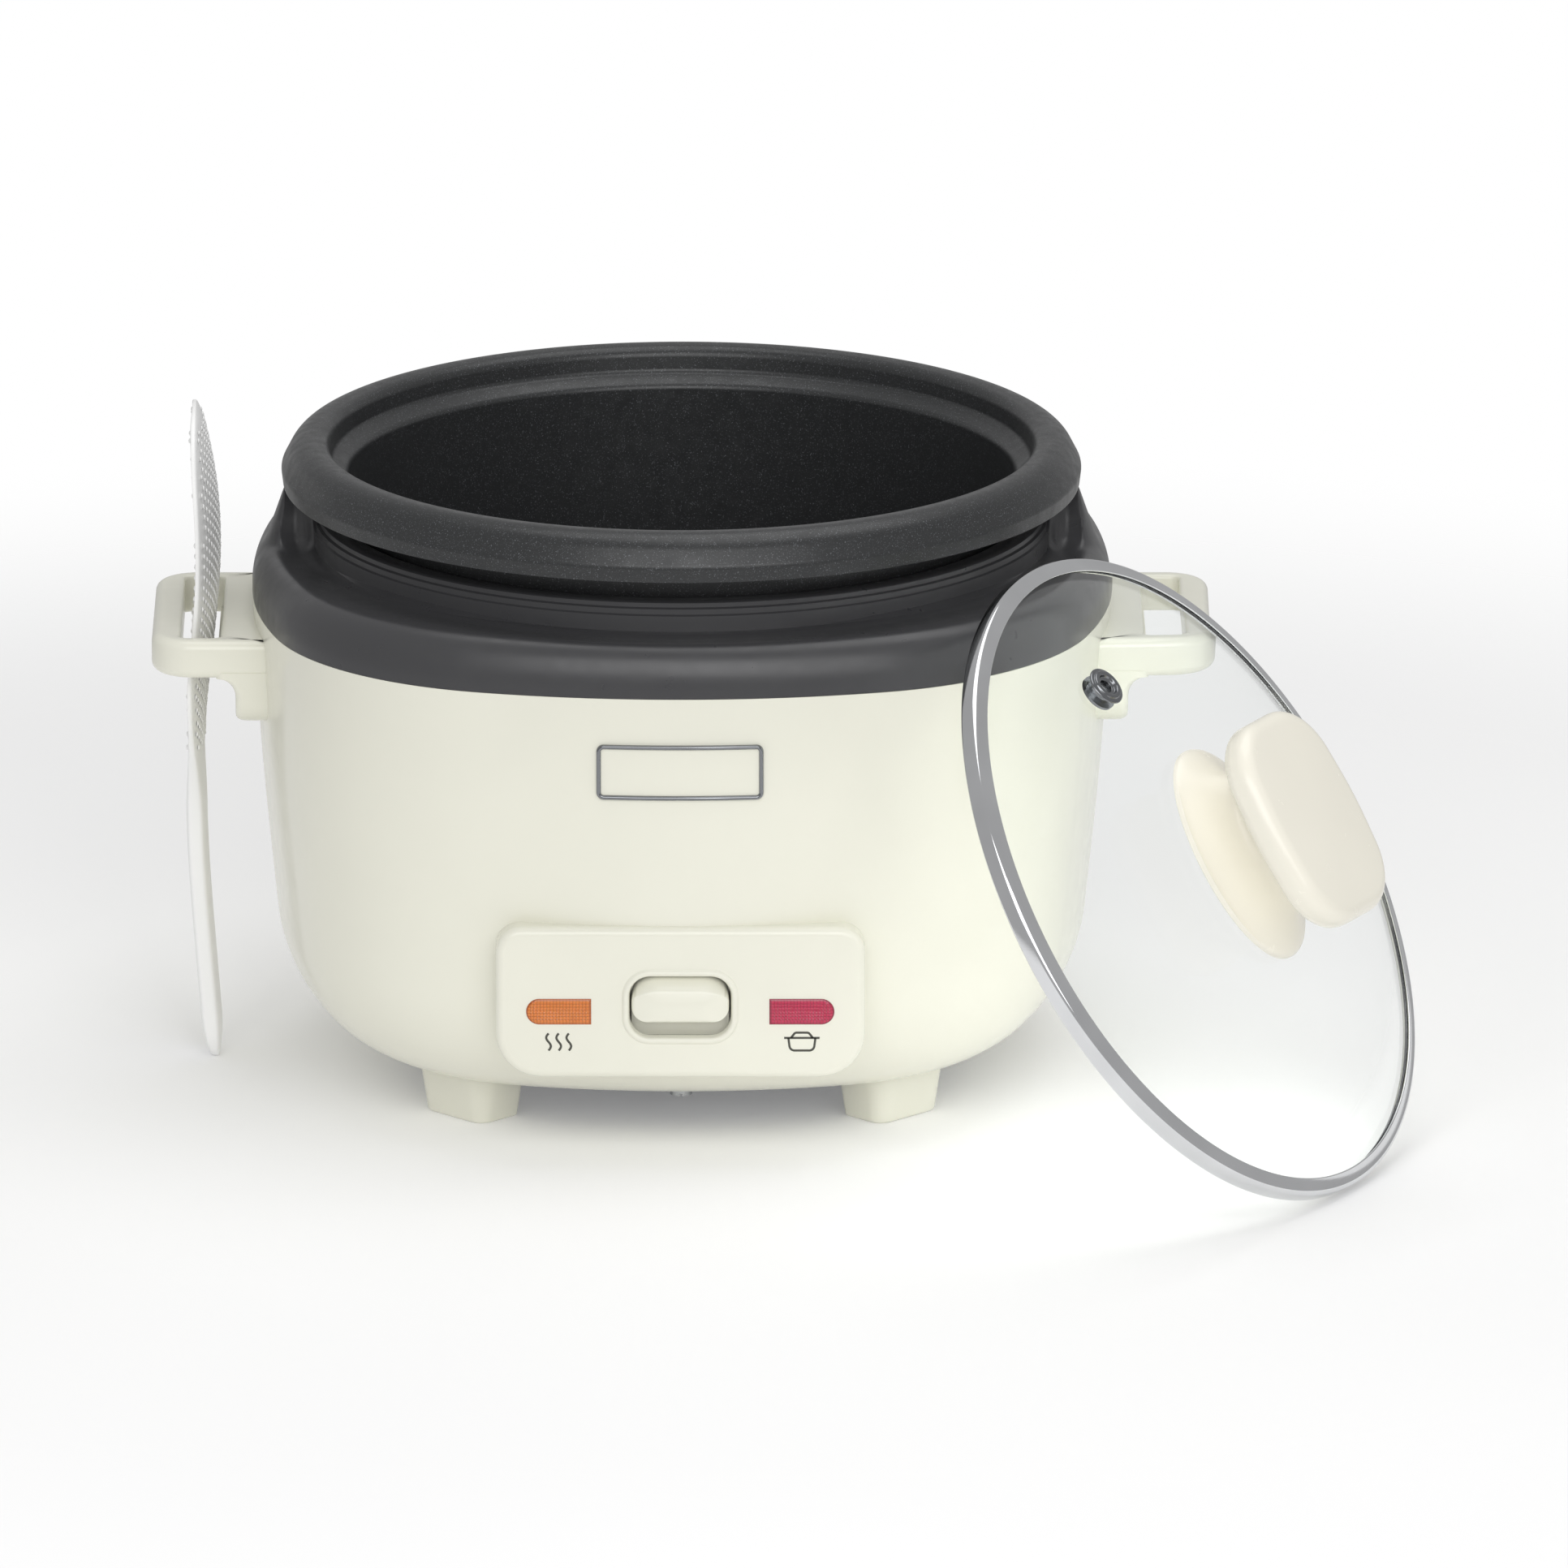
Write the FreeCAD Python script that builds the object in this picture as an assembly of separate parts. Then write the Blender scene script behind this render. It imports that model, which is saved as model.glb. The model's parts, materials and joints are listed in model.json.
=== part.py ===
"""Electric rice cooker with its pot, its propped glass lid and its paddle.

Millimetres, +Z up, front towards -Y. The origin is on the worktop, on the cooker's axis.
"""
import math
import os

import FreeCAD
import Part
from FreeCAD import Matrix, Placement, Vector

# Clearances
GAP = 0.3
SNUG = 0.15
RUN = 0.05

# Body: a rounded square in plan, each side a flat arc and each corner a round one
HALF_WIDTH = 133.5
SIDE_RADIUS = 230.0
CORNER_RADIUS = 90.0
FOOT_HEIGHT = 14.0
BODY_HEIGHT = 137.5
WALL = 2.6
WALL_LEAN = 8.8
WALL_BULGE = 0.8
BOTTOM_ROUND = 42.0
LIP_INSET = 58.0
COVER = 2.0
FOOT_LENGTH = 31.0
FOOT_DEPTH = 21.0
FOOT_INSET = 41.0

# Collar
SHOULDER_WIDTH = 18.5
NECK_WALL = 8.6
NECK_HEIGHT = 24.5
SHOULDER_HEIGHT = 16.5
SHOULDER_ROUND = 10.0
SCOOP_RADIUS = 6.0
RIDGE_WIDTH = 18.0
SPIGOT = 5.0

# Pot
RIM_OVERHANG = 10.0
RIM_GAP = 10.0
RIM_HEIGHT = 14.0
POT_DEPTH = 138.0
POT_WALL = 1.5
POT_ROOM = 1.4
POT_TAPER = 3.0
POT_ROUND = 18.0
LEDGE_DROP = 9.0

# Heating and switching
PLATE_RADIUS = 84.0
PLATE_THICK = 13.0
PLATE_BORE = 24.0
POST_HEIGHT = 5.0
POST_CIRCLE = 72.0
TUBE_RADIUS = 3.5
TUBE_CIRCLE = 54.0
LINER_SHEET = 0.8
CAP_RADIUS = 20.0
CAP_HEIGHT = 11.0
CAP_TRAVEL = 2.5
LEVER_SHEET = 1.6
LEVER_WIDTH = 12.0
LEVER_DROP = 8.0
KNOB_ARM = 63.0
PIN_RADIUS = 1.5
KNOB_TRAVEL = 4.4

# Control panel
PANEL_WIDTH = 113.5
PANEL_HEIGHT = 48.0
PANEL_FOOT = 30.0
PANEL_SET = 2.5
PANEL_WALL = 2.0
PANEL_TOP_ROUND = 8.0
PANEL_LOW_ROUND = 14.0
WINDOW_WIDTH = 31.5
WINDOW_HEIGHT = 19.5
WINDOW_RISE = 22.9
LENS_LENGTH = 20.0
LENS_HEIGHT = 8.2
LENS_X = 37.4
LENS_RISE = 21.4
LAMP_RADIUS = 3.3
BADGE_WIDTH = 51.3
BADGE_HEIGHT = 17.6
BADGE_DROP = 23.5

# Handles
HANDLE_PROUD = 30.8
HANDLE_HALF = 43.0
HANDLE_DROP = 6.5
HANDLE_THICK = 12.0
HANDLE_CORNER = 13.0
LEG_DROP = 15.0
LEG_THICK = 5.5
SLOT_WIDTH = 12.4
SLOT_HALF = 36.7
SLOT_INNER = 9.4

# Lid
LID_OVERLAP = 3.0
BAND_HEIGHT = 5.7
BAND_LIP = 5.0
GLASS = 4.0
DOME_SAG = 18.0
VENT_CIRCLE = 66.0
VENT_TURN = 13.0
LID_TURN = 63.1
LID_LEAN = 31.3
LID_HOLD = 1.85
GRIP_LENGTH = 68.0
GRIP_WIDTH = 54.0
GRIP_THICK = 13.0
GRIP_RISE = 18.0
GRIP_FOOT_LENGTH = 71.0
GRIP_FOOT_WIDTH = 50.0

# Paddle
PADDLE_LENGTH = 210.0
PADDLE_WIDTH = 64.0
PADDLE_THICK = 2.6
PADDLE_GRIP = 22.0
PADDLE_GRIP_THICK = 6.4
PADDLE_DISH = 5.0

# Inlet
INLET_WIDTH = 40.0
INLET_HEIGHT = 30.0
INLET_PROUD = 10.0
INLET_WALL = 3.0

# Derived heights
SEAM_Z = FOOT_HEIGHT + BODY_HEIGHT
NECK_Z = SEAM_Z + NECK_HEIGHT
RIM_LOW_Z = NECK_Z + RIM_GAP
CREST_Z = RIM_LOW_Z + RIM_HEIGHT
POT_Z = CREST_Z - POT_DEPTH
PLATE_TOP = POT_Z - GAP
PLATE_Z = PLATE_TOP - PLATE_THICK
TUBE_Z = PLATE_Z + TUBE_RADIUS * 0.6
LINER_TOP_Z = PLATE_Z - POST_HEIGHT
LINER_Z = LINER_TOP_Z - LINER_SHEET
LEVER_Z = LINER_Z - LEVER_DROP
WINDOW_Z = PANEL_FOOT + WINDOW_RISE
LENS_Z = PANEL_FOOT + LENS_RISE
HANDLE_TOP = SEAM_Z - HANDLE_DROP
HANDLE_LOW = HANDLE_TOP - HANDLE_THICK

# Derived radii
NECK_RADIUS = HALF_WIDTH - SHOULDER_WIDTH
RIM_RADIUS = NECK_RADIUS + RIM_OVERHANG
BORE_RADIUS = NECK_RADIUS - NECK_WALL
LINER_RADIUS = BORE_RADIUS + LINER_SHEET
POT_TOP_RADIUS = BORE_RADIUS - POT_ROOM - POT_WALL
LID_RADIUS = POT_TOP_RADIUS + LID_OVERLAP
SCOOP_CIRCLE = NECK_RADIUS + SCOOP_RADIUS
SCOOP_Z = NECK_Z - 4.0
PANEL_FACE = HALF_WIDTH - PANEL_SET
HANDLE_REACH = HALF_WIDTH + HANDLE_PROUD
SLOT_X = HALF_WIDTH + SLOT_INNER + SLOT_WIDTH / 2
CORNER = (
    -(SIDE_RADIUS - HALF_WIDTH)
    + math.sqrt(2 * (SIDE_RADIUS - CORNER_RADIUS) ** 2 - (SIDE_RADIUS - HALF_WIDTH) ** 2)
) / 2
FOOT_OUTER = CORNER * math.sqrt(2) + CORNER_RADIUS - FOOT_INSET
FOOT_SCREW = FOOT_OUTER - FOOT_DEPTH + 8.0
FOOT_ROOF = FOOT_HEIGHT - COVER - 4.0

# Derived places in the thermostat and its switch
CAP_TOP = PLATE_TOP - 0.1
CAP_SHEET = 1.4
ROD_COLLAR_Z = LEVER_Z + LEVER_SHEET + 0.4
MAGNET_Z = ROD_COLLAR_Z + 2.0
MAGNET_HEIGHT = 6.0
MAGNET_RADIUS = 9.5
PIVOT_Y = KNOB_ARM - PANEL_FACE
PIVOT_Z = LEVER_Z - 2.0
KNOB_ANGLE = KNOB_TRAVEL / KNOB_ARM
MAGNET_TRAVEL = -PIVOT_Y * math.tan(KNOB_ANGLE)
SHIELD_TOP = WINDOW_Z + WINDOW_HEIGHT / 2 + KNOB_TRAVEL
SHIELD_ROOM = (SHIELD_TOP - PIVOT_Z) * math.sin(KNOB_ANGLE) + 2 * GAP
FERRITE_Z = MAGNET_Z + MAGNET_HEIGHT + MAGNET_TRAVEL + CAP_TRAVEL + 0.5
FERRITE_HEIGHT = 3.6
PLUNGER_Y = PIVOT_Y / 2 - 1.0
LIMB_Y = -(LINER_RADIUS + 4.0)

# Derived shape of the lid's glass, in the lid's own frame
GLASS_EDGE = LID_RADIUS - 1.3
GLASS_LOW = 0.9
DOME_RADIUS = (GLASS_EDGE ** 2 + DOME_SAG ** 2) / (2 * DOME_SAG)
APEX_Z = GLASS_LOW + GLASS + DOME_SAG

ORIGIN = Vector(0, 0, 0)
AXIS = Vector(0, 0, 1)
BACK = Vector(0, 1, 0)


def in_xz(a, b):
    """A profile point as radius and height."""
    return Vector(a, 0, b)


def in_yz(a, b):
    """A profile point as depth and height."""
    return Vector(0, a, b)


def in_xy(a, b):
    """A profile point on the floor plane."""
    return Vector(a, b, 0)


def unit(p, q):
    """The unit direction from p to q."""
    length = math.hypot(q[0] - p[0], q[1] - p[1])
    return ((q[0] - p[0]) / length, (q[1] - p[1]) / length)


def rounded_edges(points, radii, place, closed=False):
    """Lines through the points with a tangent arc of the given radius at each corner."""
    count = len(points)
    starts, ends, arcs = [], [], []
    for i, point in enumerate(points):
        radius = radii[i]
        if (not closed and i in (0, count - 1)) or radius < 1e-6:
            starts.append(point)
            ends.append(point)
            arcs.append(None)
            continue
        a = unit(point, points[i - 1])
        b = unit(point, points[(i + 1) % count])
        half = math.acos(max(-1.0, min(1.0, a[0] * b[0] + a[1] * b[1]))) / 2
        reach = radius / math.tan(half)
        away = radius / math.sin(half)
        mid = (a[0] + b[0], a[1] + b[1])
        size = math.hypot(*mid)
        starts.append((point[0] + a[0] * reach, point[1] + a[1] * reach))
        ends.append((point[0] + b[0] * reach, point[1] + b[1] * reach))
        arcs.append((
            point[0] + mid[0] / size * (away - radius),
            point[1] + mid[1] / size * (away - radius),
        ))
    edges = []
    for i in range(count):
        if arcs[i]:
            edges.append(Part.Arc(place(*starts[i]), place(*arcs[i]), place(*ends[i])).toShape())
        if i < count - 1 or closed:
            here = place(*ends[i])
            there = place(*starts[(i + 1) % count])
            if here.distanceToPoint(there) > 1e-6:
                edges.append(Part.LineSegment(here, there).toShape())
    return edges


def sheet_edges(points, radii, thick, place):
    """The closed outline of a sheet that lies to the right of a rounded path."""
    count = len(points)
    other, other_radii = [], []
    for i, point in enumerate(points):
        before = unit(points[i - 1], point) if i else unit(point, points[1])
        after = unit(point, points[i + 1]) if i < count - 1 else before
        normal = (before[1] + after[1], -before[0] - after[0])
        scale = thick * 2 / (normal[0] ** 2 + normal[1] ** 2)
        other.append((point[0] + normal[0] * scale, point[1] + normal[1] * scale))
        turn = before[0] * after[1] - before[1] * after[0]
        grown = radii[i] + (thick if turn > 0 else -thick)
        other_radii.append(grown if radii[i] else 0.0)
    first = rounded_edges(points, radii, place)
    second = rounded_edges(other[::-1], other_radii[::-1], place)
    cap_end = Part.LineSegment(place(*points[-1]), place(*other[-1])).toShape()
    cap_start = Part.LineSegment(place(*other[0]), place(*points[0])).toShape()
    return first + [cap_end] + second + [cap_start]


def face_of(edges):
    """A flat face inside a closed run of edges."""
    return Part.Face(Part.Wire(edges))


def turned(edges, angle=360.0):
    """A solid of revolution about the cooker's axis."""
    return face_of(edges).revolve(ORIGIN, AXIS, angle)


def polygon_turned(points, radii=None):
    """A solid of revolution with a straight or rounded outline."""
    return turned(rounded_edges(points, radii or [0.0] * len(points), in_xz, closed=True))


def prism(points, radii, place, along):
    """A rounded outline drawn out along a vector."""
    return face_of(rounded_edges(points, radii, place, closed=True)).extrude(along)


def box(x0, x1, y0, y1, z0, z1):
    """A plain box between two corners."""
    return Part.makeBox(x1 - x0, y1 - y0, z1 - z0, Vector(x0, y0, z0))


def rod(radius, start, end):
    """A cylinder from one point to another."""
    return Part.makeCylinder(radius, (end - start).Length, start, end - start)


def joined(shapes):
    """One solid out of touching or overlapping ones."""
    return shapes[0].fuse(shapes[1:]).removeSplitter()


def front_plate(half_width, low, high, radii, y0, y1):
    """A rounded rectangle seen from the front, drawn out from y0 to y1.

    The radii go round from the lower left corner.
    """
    points = [(-half_width, low), (half_width, low), (half_width, high), (-half_width, high)]
    plate = prism(points, radii, in_xz, Vector(0, y1 - y0, 0))
    plate.translate(Vector(0, y0, 0))
    return plate


def outline_arcs():
    """The eight arcs of the plan: centre, radius, first and last angle."""
    tip = math.degrees(math.atan2(CORNER, CORNER + SIDE_RADIUS - HALF_WIDTH))
    arcs = []
    for quarter in range(4):
        turn = 90 * quarter
        c = math.cos(math.radians(turn))
        s = math.sin(math.radians(turn))
        away = HALF_WIDTH - SIDE_RADIUS
        arcs.append((Vector(away * c, away * s, 0), SIDE_RADIUS, turn - tip, turn + tip))
        middle = Vector(CORNER * (c - s), CORNER * (s + c), 0)
        arcs.append((middle, CORNER_RADIUS, turn + tip, turn + 90 - tip))
    return arcs


def outline_ring(make_edges):
    """A profile of inset and height carried round the plan outline as one solid."""
    pieces = []
    for centre, radius, first, last in outline_arcs():
        face = face_of(make_edges(lambda inset, z, r=radius: Vector(r - inset, 0, z)))
        face.rotate(ORIGIN, AXIS, first)
        face.translate(centre)
        pieces.append(face.revolve(centre, AXIS, last - first))
    return joined(pieces)


def outline_plate(inset, z0, z1):
    """A flat plate whose edge runs inside the plan outline."""
    edges = []
    for centre, radius, first, last in outline_arcs():
        circle = Part.Circle(centre + Vector(0, 0, z0), AXIS, radius - inset)
        edges.append(Part.Arc(circle, math.radians(first), math.radians(last)).toShape())
    return face_of(edges).extrude(Vector(0, 0, z1 - z0))


def wall_path(out=0.0, top=SEAM_Z):
    """The shell's outer side from its top edge to the lip of its bottom opening, and its radii."""
    slope = WALL_LEAN / 2 / (BODY_HEIGHT / 2)
    waist_z = SEAM_Z - BODY_HEIGHT * 0.36
    waist = (SEAM_Z - waist_z) * slope - WALL_BULGE - out
    rise = (top - SEAM_Z) / (SEAM_Z - waist_z) * (waist + out)
    foot = waist + (waist_z - FOOT_HEIGHT) * (slope + 0.036)
    low = FOOT_HEIGHT - out
    points = [(-out - rise, top), (waist, waist_z), (foot, low), (LIP_INSET, low)]
    return points, [0.0, 900.0, BOTTOM_ROUND + out, 0.0]


def wall_inset(z):
    """How far the shell's outer side stands inside its top edge at a height on the straight wall."""
    points, _ = wall_path()
    (t0, z0), (t1, z1), (t2, z2) = points[:3]
    if z > z1:
        return t0 + (z0 - z) / (z0 - z1) * (t1 - t0)
    return t1 + (z1 - z) / (z1 - z2) * (t2 - t1)


def wall_block(out):
    """A thick band that fills the shell's wall and its near inside, for cutting what stands on it."""
    points, radii = wall_path(out, SEAM_Z + GAP)
    inner = LIP_INSET + 8.0
    points = points[:3] + [(inner, points[3][1]), (inner, SEAM_Z + GAP)]
    return outline_ring(lambda place: rounded_edges(points, radii[:3] + [0.0, 0.0], place, closed=True))


def outer_shell():
    """The cream body wall with its openings."""
    points, radii = wall_path()
    shell = outline_ring(lambda place: sheet_edges(points, radii, -WALL, place))
    half = WINDOW_WIDTH / 2 + 2.5
    tall = WINDOW_HEIGHT / 2 + KNOB_TRAVEL + 3.0
    cuts = [outline_plate(-WALL, SEAM_Z, SEAM_Z + WALL)]
    cuts.append(box(-half, half, -PANEL_FACE, -HALF_WIDTH + 45, WINDOW_Z - tall, WINDOW_Z + tall))
    for x in (-LENS_X, LENS_X):
        cuts.append(rod(LAMP_RADIUS + SNUG, Vector(x, -PANEL_FACE, LENS_Z), Vector(x, -LINER_RADIUS, LENS_Z)))
    wide = INLET_WIDTH / 2 - INLET_WALL
    tall = INLET_HEIGHT / 2 - INLET_WALL
    mid = inlet_middle()
    cuts.append(box(-wide, wide, HALF_WIDTH - 45, HALF_WIDTH + 5, mid - tall, mid + tall))
    fasteners = handle_fasteners(SNUG) + foot_fasteners(SNUG) + base_fasteners(SNUG)
    cuts += [hole for hole, _ in fasteners]
    return shell.cut(cuts)


def base_cover():
    """The bottom plate with its vents."""
    plate = outline_plate(LIP_INSET - 8.0, FOOT_HEIGHT - COVER, FOOT_HEIGHT)
    cuts = []
    for row in range(-3, 4):
        slot = prism(
            [(-18, -1.6), (18, -1.6), (18, 1.6), (-18, 1.6)], [1.5] * 4, in_xy, Vector(0, 0, COVER * 3)
        )
        slot.translate(Vector(0, 45 + row * 7.0, FOOT_HEIGHT - COVER * 2))
        cuts.append(slot)
    cuts += [screw_hole for screw_hole, _ in foot_fasteners(SNUG) + base_fasteners(SNUG)]
    return plate.cut(cuts)


def diagonal_turns():
    """The four diagonal directions in degrees."""
    return [45 + 90 * i for i in range(4)]


def at_turn(shape, turn):
    """A copy of a shape turned about the cooker's axis."""
    copy = shape.copy()
    copy.rotate(ORIGIN, AXIS, turn)
    return copy


def floor_rise(inset):
    """How far the body's round bottom has risen at an inset from the seam's outline."""
    back = max(0.0, WALL_LEAN + BOTTOM_ROUND - inset)
    return BOTTOM_ROUND - math.sqrt(max(0.0, BOTTOM_ROUND ** 2 - back ** 2))


def foot():
    """One foot on the +X axis, to be turned to its diagonal."""
    inner = FOOT_OUTER - FOOT_DEPTH
    half = FOOT_LENGTH / 2
    points = [(inner, -half), (FOOT_OUTER, -half), (FOOT_OUTER, half), (inner, half)]
    block = prism(points, [4.0, 7.0, 7.0, 4.0], in_xy, Vector(0, 0, FOOT_HEIGHT + 12))
    well = rod(5.0, Vector(FOOT_SCREW, 0, 0), Vector(FOOT_SCREW, 0, FOOT_ROOF))
    hole = rod(2.0 + SNUG, Vector(FOOT_SCREW, 0, 0), Vector(FOOT_SCREW, 0, FOOT_HEIGHT + 12))
    return block.cut([well, hole])


def feet():
    """The four feet by name, each shaped to the underside it sits under."""
    body = wall_block(SNUG)
    cover = outline_plate(LIP_INSET - 8.0 - SNUG, FOOT_HEIGHT - COVER, FOOT_HEIGHT + 30)
    names = {45: "foot_back_right", 135: "foot_back_left", 225: "foot_front_left", 315: "foot_front_right"}
    return {names[turn]: at_turn(foot(), turn).cut([body, cover]) for turn in diagonal_turns()}


def foot_fasteners(room=0.0):
    """The foot screws as pairs of hole and screw."""
    pairs = []
    seat = FOOT_ROOF
    top = FOOT_HEIGHT + floor_rise(CORNER * math.sqrt(2) + CORNER_RADIUS - FOOT_SCREW) + WALL + 2.4
    for turn in diagonal_turns():
        at = Vector(FOOT_SCREW, 0, 0)
        shank = rod(2.0 + room, at + Vector(0, 0, seat), at + Vector(0, 0, top))
        head = rod(3.9, at + Vector(0, 0, seat - 2.4), at + Vector(0, 0, seat))
        slot = box(FOOT_SCREW - 4, FOOT_SCREW + 4, -0.5, 0.5, seat - 2.4, seat - 1.4)
        pairs.append((at_turn(shank, turn), at_turn(joined([shank, head]).cut(slot), turn)))
    return pairs


def base_fasteners(room=0.0):
    """The base cover's screws as pairs of hole and screw."""
    pairs = []
    reach = HALF_WIDTH - LIP_INSET + 4.0
    for turn in (0, 90, 180, 270):
        at = Vector(reach, 0, FOOT_HEIGHT - COVER)
        shank = rod(1.8 + room, at, at + Vector(0, 0, COVER + WALL + 2.4))
        head = rod(3.4, at - Vector(0, 0, 1.8), at)
        slot = box(reach - 4, reach + 4, -0.4, 0.4, at.z - 1.8, at.z - 1.0)
        pairs.append((at_turn(shank, turn), at_turn(joined([shank, head]).cut(slot), turn)))
    return pairs


def collar_form(inset, low, inner):
    """The collar's outer shape drawn in by an inset, above a height and outside an inner radius."""
    top = SEAM_Z + SHOULDER_HEIGHT - inset
    ring_in = HALF_WIDTH - NECK_RADIUS + 2.0
    ring = [(inset, low), (inset, top), (ring_in, top), (ring_in, low)]
    radii = [0.0, SHOULDER_ROUND - inset / 2, 0.0, 0.0]
    shoulder = outline_ring(lambda place: rounded_edges(ring, radii, place, closed=True))
    ridge_out = HALF_WIDTH - 1.5 - inset
    cone = polygon_turned([
        (inner, low),
        (ridge_out, low),
        (ridge_out, top - 2.0),
        (NECK_RADIUS + 2.0 - inset, NECK_Z + 1.0 - inset),
        (inner, NECK_Z + 1.0 - inset),
    ])
    form = joined([shoulder, cone])
    for middle in (-90, 90):
        form = form.cut(scoop(inset, middle))
    return form


def scoop(inset, middle):
    """One round-ended valley in front of or behind the neck, grown by an inset."""
    size = SCOOP_RADIUS + inset
    half = 90 - math.degrees((RIDGE_WIDTH / 2 + SCOOP_RADIUS) / SCOOP_CIRCLE)
    inner, outer = SCOOP_CIRCLE - size, SCOOP_CIRCLE + size
    above = NECK_Z + 8.0
    step_z = max(NECK_Z - 3.1 - inset, SCOOP_Z + 0.2)
    rim = [(outer, SCOOP_Z), (outer, above), (inner - 1.0, above), (inner - 1.0, step_z), (inner, step_z)]
    corners = [in_xz(*p) for p in rim + [(inner, SCOOP_Z)]]
    edges = [Part.LineSegment(p, q).toShape() for p, q in zip(corners, corners[1:])]
    edges.append(Part.Arc(corners[-1], in_xz(SCOOP_CIRCLE, SCOOP_Z - size), corners[0]).toShape())
    valley = at_turn(turned(edges, 2 * half), middle - half)
    ends = []
    for side in (-1, 1):
        at = around(SCOOP_CIRCLE, middle + side * half)
        ends += [Part.makeSphere(size, at(SCOOP_Z)), rod(size, at(SCOOP_Z), at(above))]
    return joined([valley] + ends)


def collar():
    """The charcoal ring between the shell and the pot's rim."""
    outside = collar_form(0.0, SEAM_Z, BORE_RADIUS)
    inside = collar_form(WALL, SEAM_Z - 2.0, BORE_RADIUS - 4.0)
    first = WALL + GAP + wall_inset(SEAM_Z - SPIGOT)
    last = first + 1.6
    step_z = SEAM_Z + 1.6
    hook = [
        (first, SEAM_Z - SPIGOT),
        (first, SEAM_Z),
        (WALL - 0.2, SEAM_Z),
        (WALL - 0.2, step_z),
        (last, step_z),
        (last, SEAM_Z - SPIGOT),
    ]
    spigot = outline_ring(lambda place: rounded_edges(hook, [0.0] * 6, place, closed=True))
    return joined([outside.cut(inside), spigot])


def inner_liner():
    """The sheet-metal cup round the pot, with a flange under the neck and openings in its floor."""
    flange_z = NECK_Z - WALL
    path = [
        (NECK_RADIUS - WALL - 1.0 - GAP, flange_z),
        (LINER_RADIUS, flange_z),
        (LINER_RADIUS, LINER_Z),
        (15.0, LINER_Z),
    ]
    cup = turned(sheet_edges(path[::-1], [0.0, 6.0, 1.5, 0.0], -LINER_SHEET, in_xz))
    cuts = []
    for at in post_points():
        cuts.append(rod(2.3, at(LINER_Z - 1), at(LINER_TOP_Z + 1)))
    for at in tube_ends():
        cuts.append(rod(6.0, at(LINER_Z - 1), at(LINER_TOP_Z + 1)))
    return cup.cut(cuts)


def around(radius, turn):
    """A point maker at a radius and a direction, by height."""
    a = math.radians(turn)
    return lambda z: Vector(radius * math.cos(a), radius * math.sin(a), z)


def post_points():
    """Where the three heater posts stand."""
    return [around(POST_CIRCLE, turn) for turn in (90, 210, 330)]


def tube_ends():
    """Where the heating tube's two ends come down."""
    return [around(TUBE_CIRCLE, turn) for turn in (80, 100)]


def heating_plate():
    """The cast plate under the pot."""
    plate = polygon_turned(
        [(PLATE_BORE, PLATE_Z), (PLATE_RADIUS, PLATE_Z), (PLATE_RADIUS, PLATE_TOP), (PLATE_BORE, PLATE_TOP)],
        [1.0, 2.0, 3.0, 1.0],
    )
    cuts = [tube_form(TUBE_RADIUS + SNUG)]
    for at in post_points():
        cuts.append(rod(1.9 + RUN, at(PLATE_Z - 1), at(PLATE_Z + 6)))
    return plate.cut(cuts)


def tube_form(radius):
    """The heating tube's ring and its two downward ends."""
    circle = Part.Circle(Vector(TUBE_CIRCLE, 0, TUBE_Z), BACK, radius).toShape()
    ring = at_turn(Part.Face(Part.Wire([circle])).revolve(ORIGIN, AXIS, 340), 100)
    ends = [rod(radius, at(LINER_Z - 4), at(TUBE_Z)) for at in tube_ends()]
    knuckles = [Part.makeSphere(radius, at(TUBE_Z)) for at in tube_ends()]
    return joined([ring] + ends + knuckles)


def bushings():
    """The ceramic beads on the heating tube's ends."""
    beads = []
    for at in tube_ends():
        bead = rod(TUBE_RADIUS + 1.8, at(LINER_Z - 3), at(TUBE_Z - TUBE_RADIUS - GAP))
        beads.append(bead.cut(rod(TUBE_RADIUS + RUN, at(LINER_Z - 5), at(PLATE_Z))))
    return Part.makeCompound(beads)


def heater_posts():
    """Three spacers between the liner's floor and the plate."""
    posts = []
    for at in post_points():
        posts.append(rod(4.5, at(LINER_TOP_Z), at(PLATE_Z)).cut(rod(2.2, at(LINER_Z), at(PLATE_Z + 1))))
    return Part.makeCompound(posts)


def heater_screws():
    """The screws that hold the plate to the liner from below."""
    screws = []
    for at in post_points():
        shank = rod(1.9, at(LINER_Z), at(PLATE_Z + 5))
        screws.append(joined([shank, rod(3.6, at(LINER_Z - 1.8), at(LINER_Z))]))
    return Part.makeCompound(screws)


def sensor_cap():
    """The cup that the pot's bottom presses on, with the stem that carries the ferrite."""
    low = CAP_TOP - CAP_HEIGHT
    cup = polygon_turned(
        [
            (0, CAP_TOP - CAP_SHEET),
            (CAP_RADIUS - CAP_SHEET, CAP_TOP - CAP_SHEET),
            (CAP_RADIUS - CAP_SHEET, low),
            (CAP_RADIUS, low),
            (CAP_RADIUS, CAP_TOP),
            (0, CAP_TOP),
        ],
        [0.0, 0.6, 0.0, 0.0, 2.0, 0.0],
    )
    stem = rod(4.0, Vector(0, 0, FERRITE_Z + FERRITE_HEIGHT), Vector(0, 0, CAP_TOP - CAP_SHEET))
    return joined([cup, stem])


def ferrite():
    """The disc that the magnet is drawn to."""
    return rod(MAGNET_RADIUS, Vector(0, 0, FERRITE_Z), Vector(0, 0, FERRITE_Z + FERRITE_HEIGHT))


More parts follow.
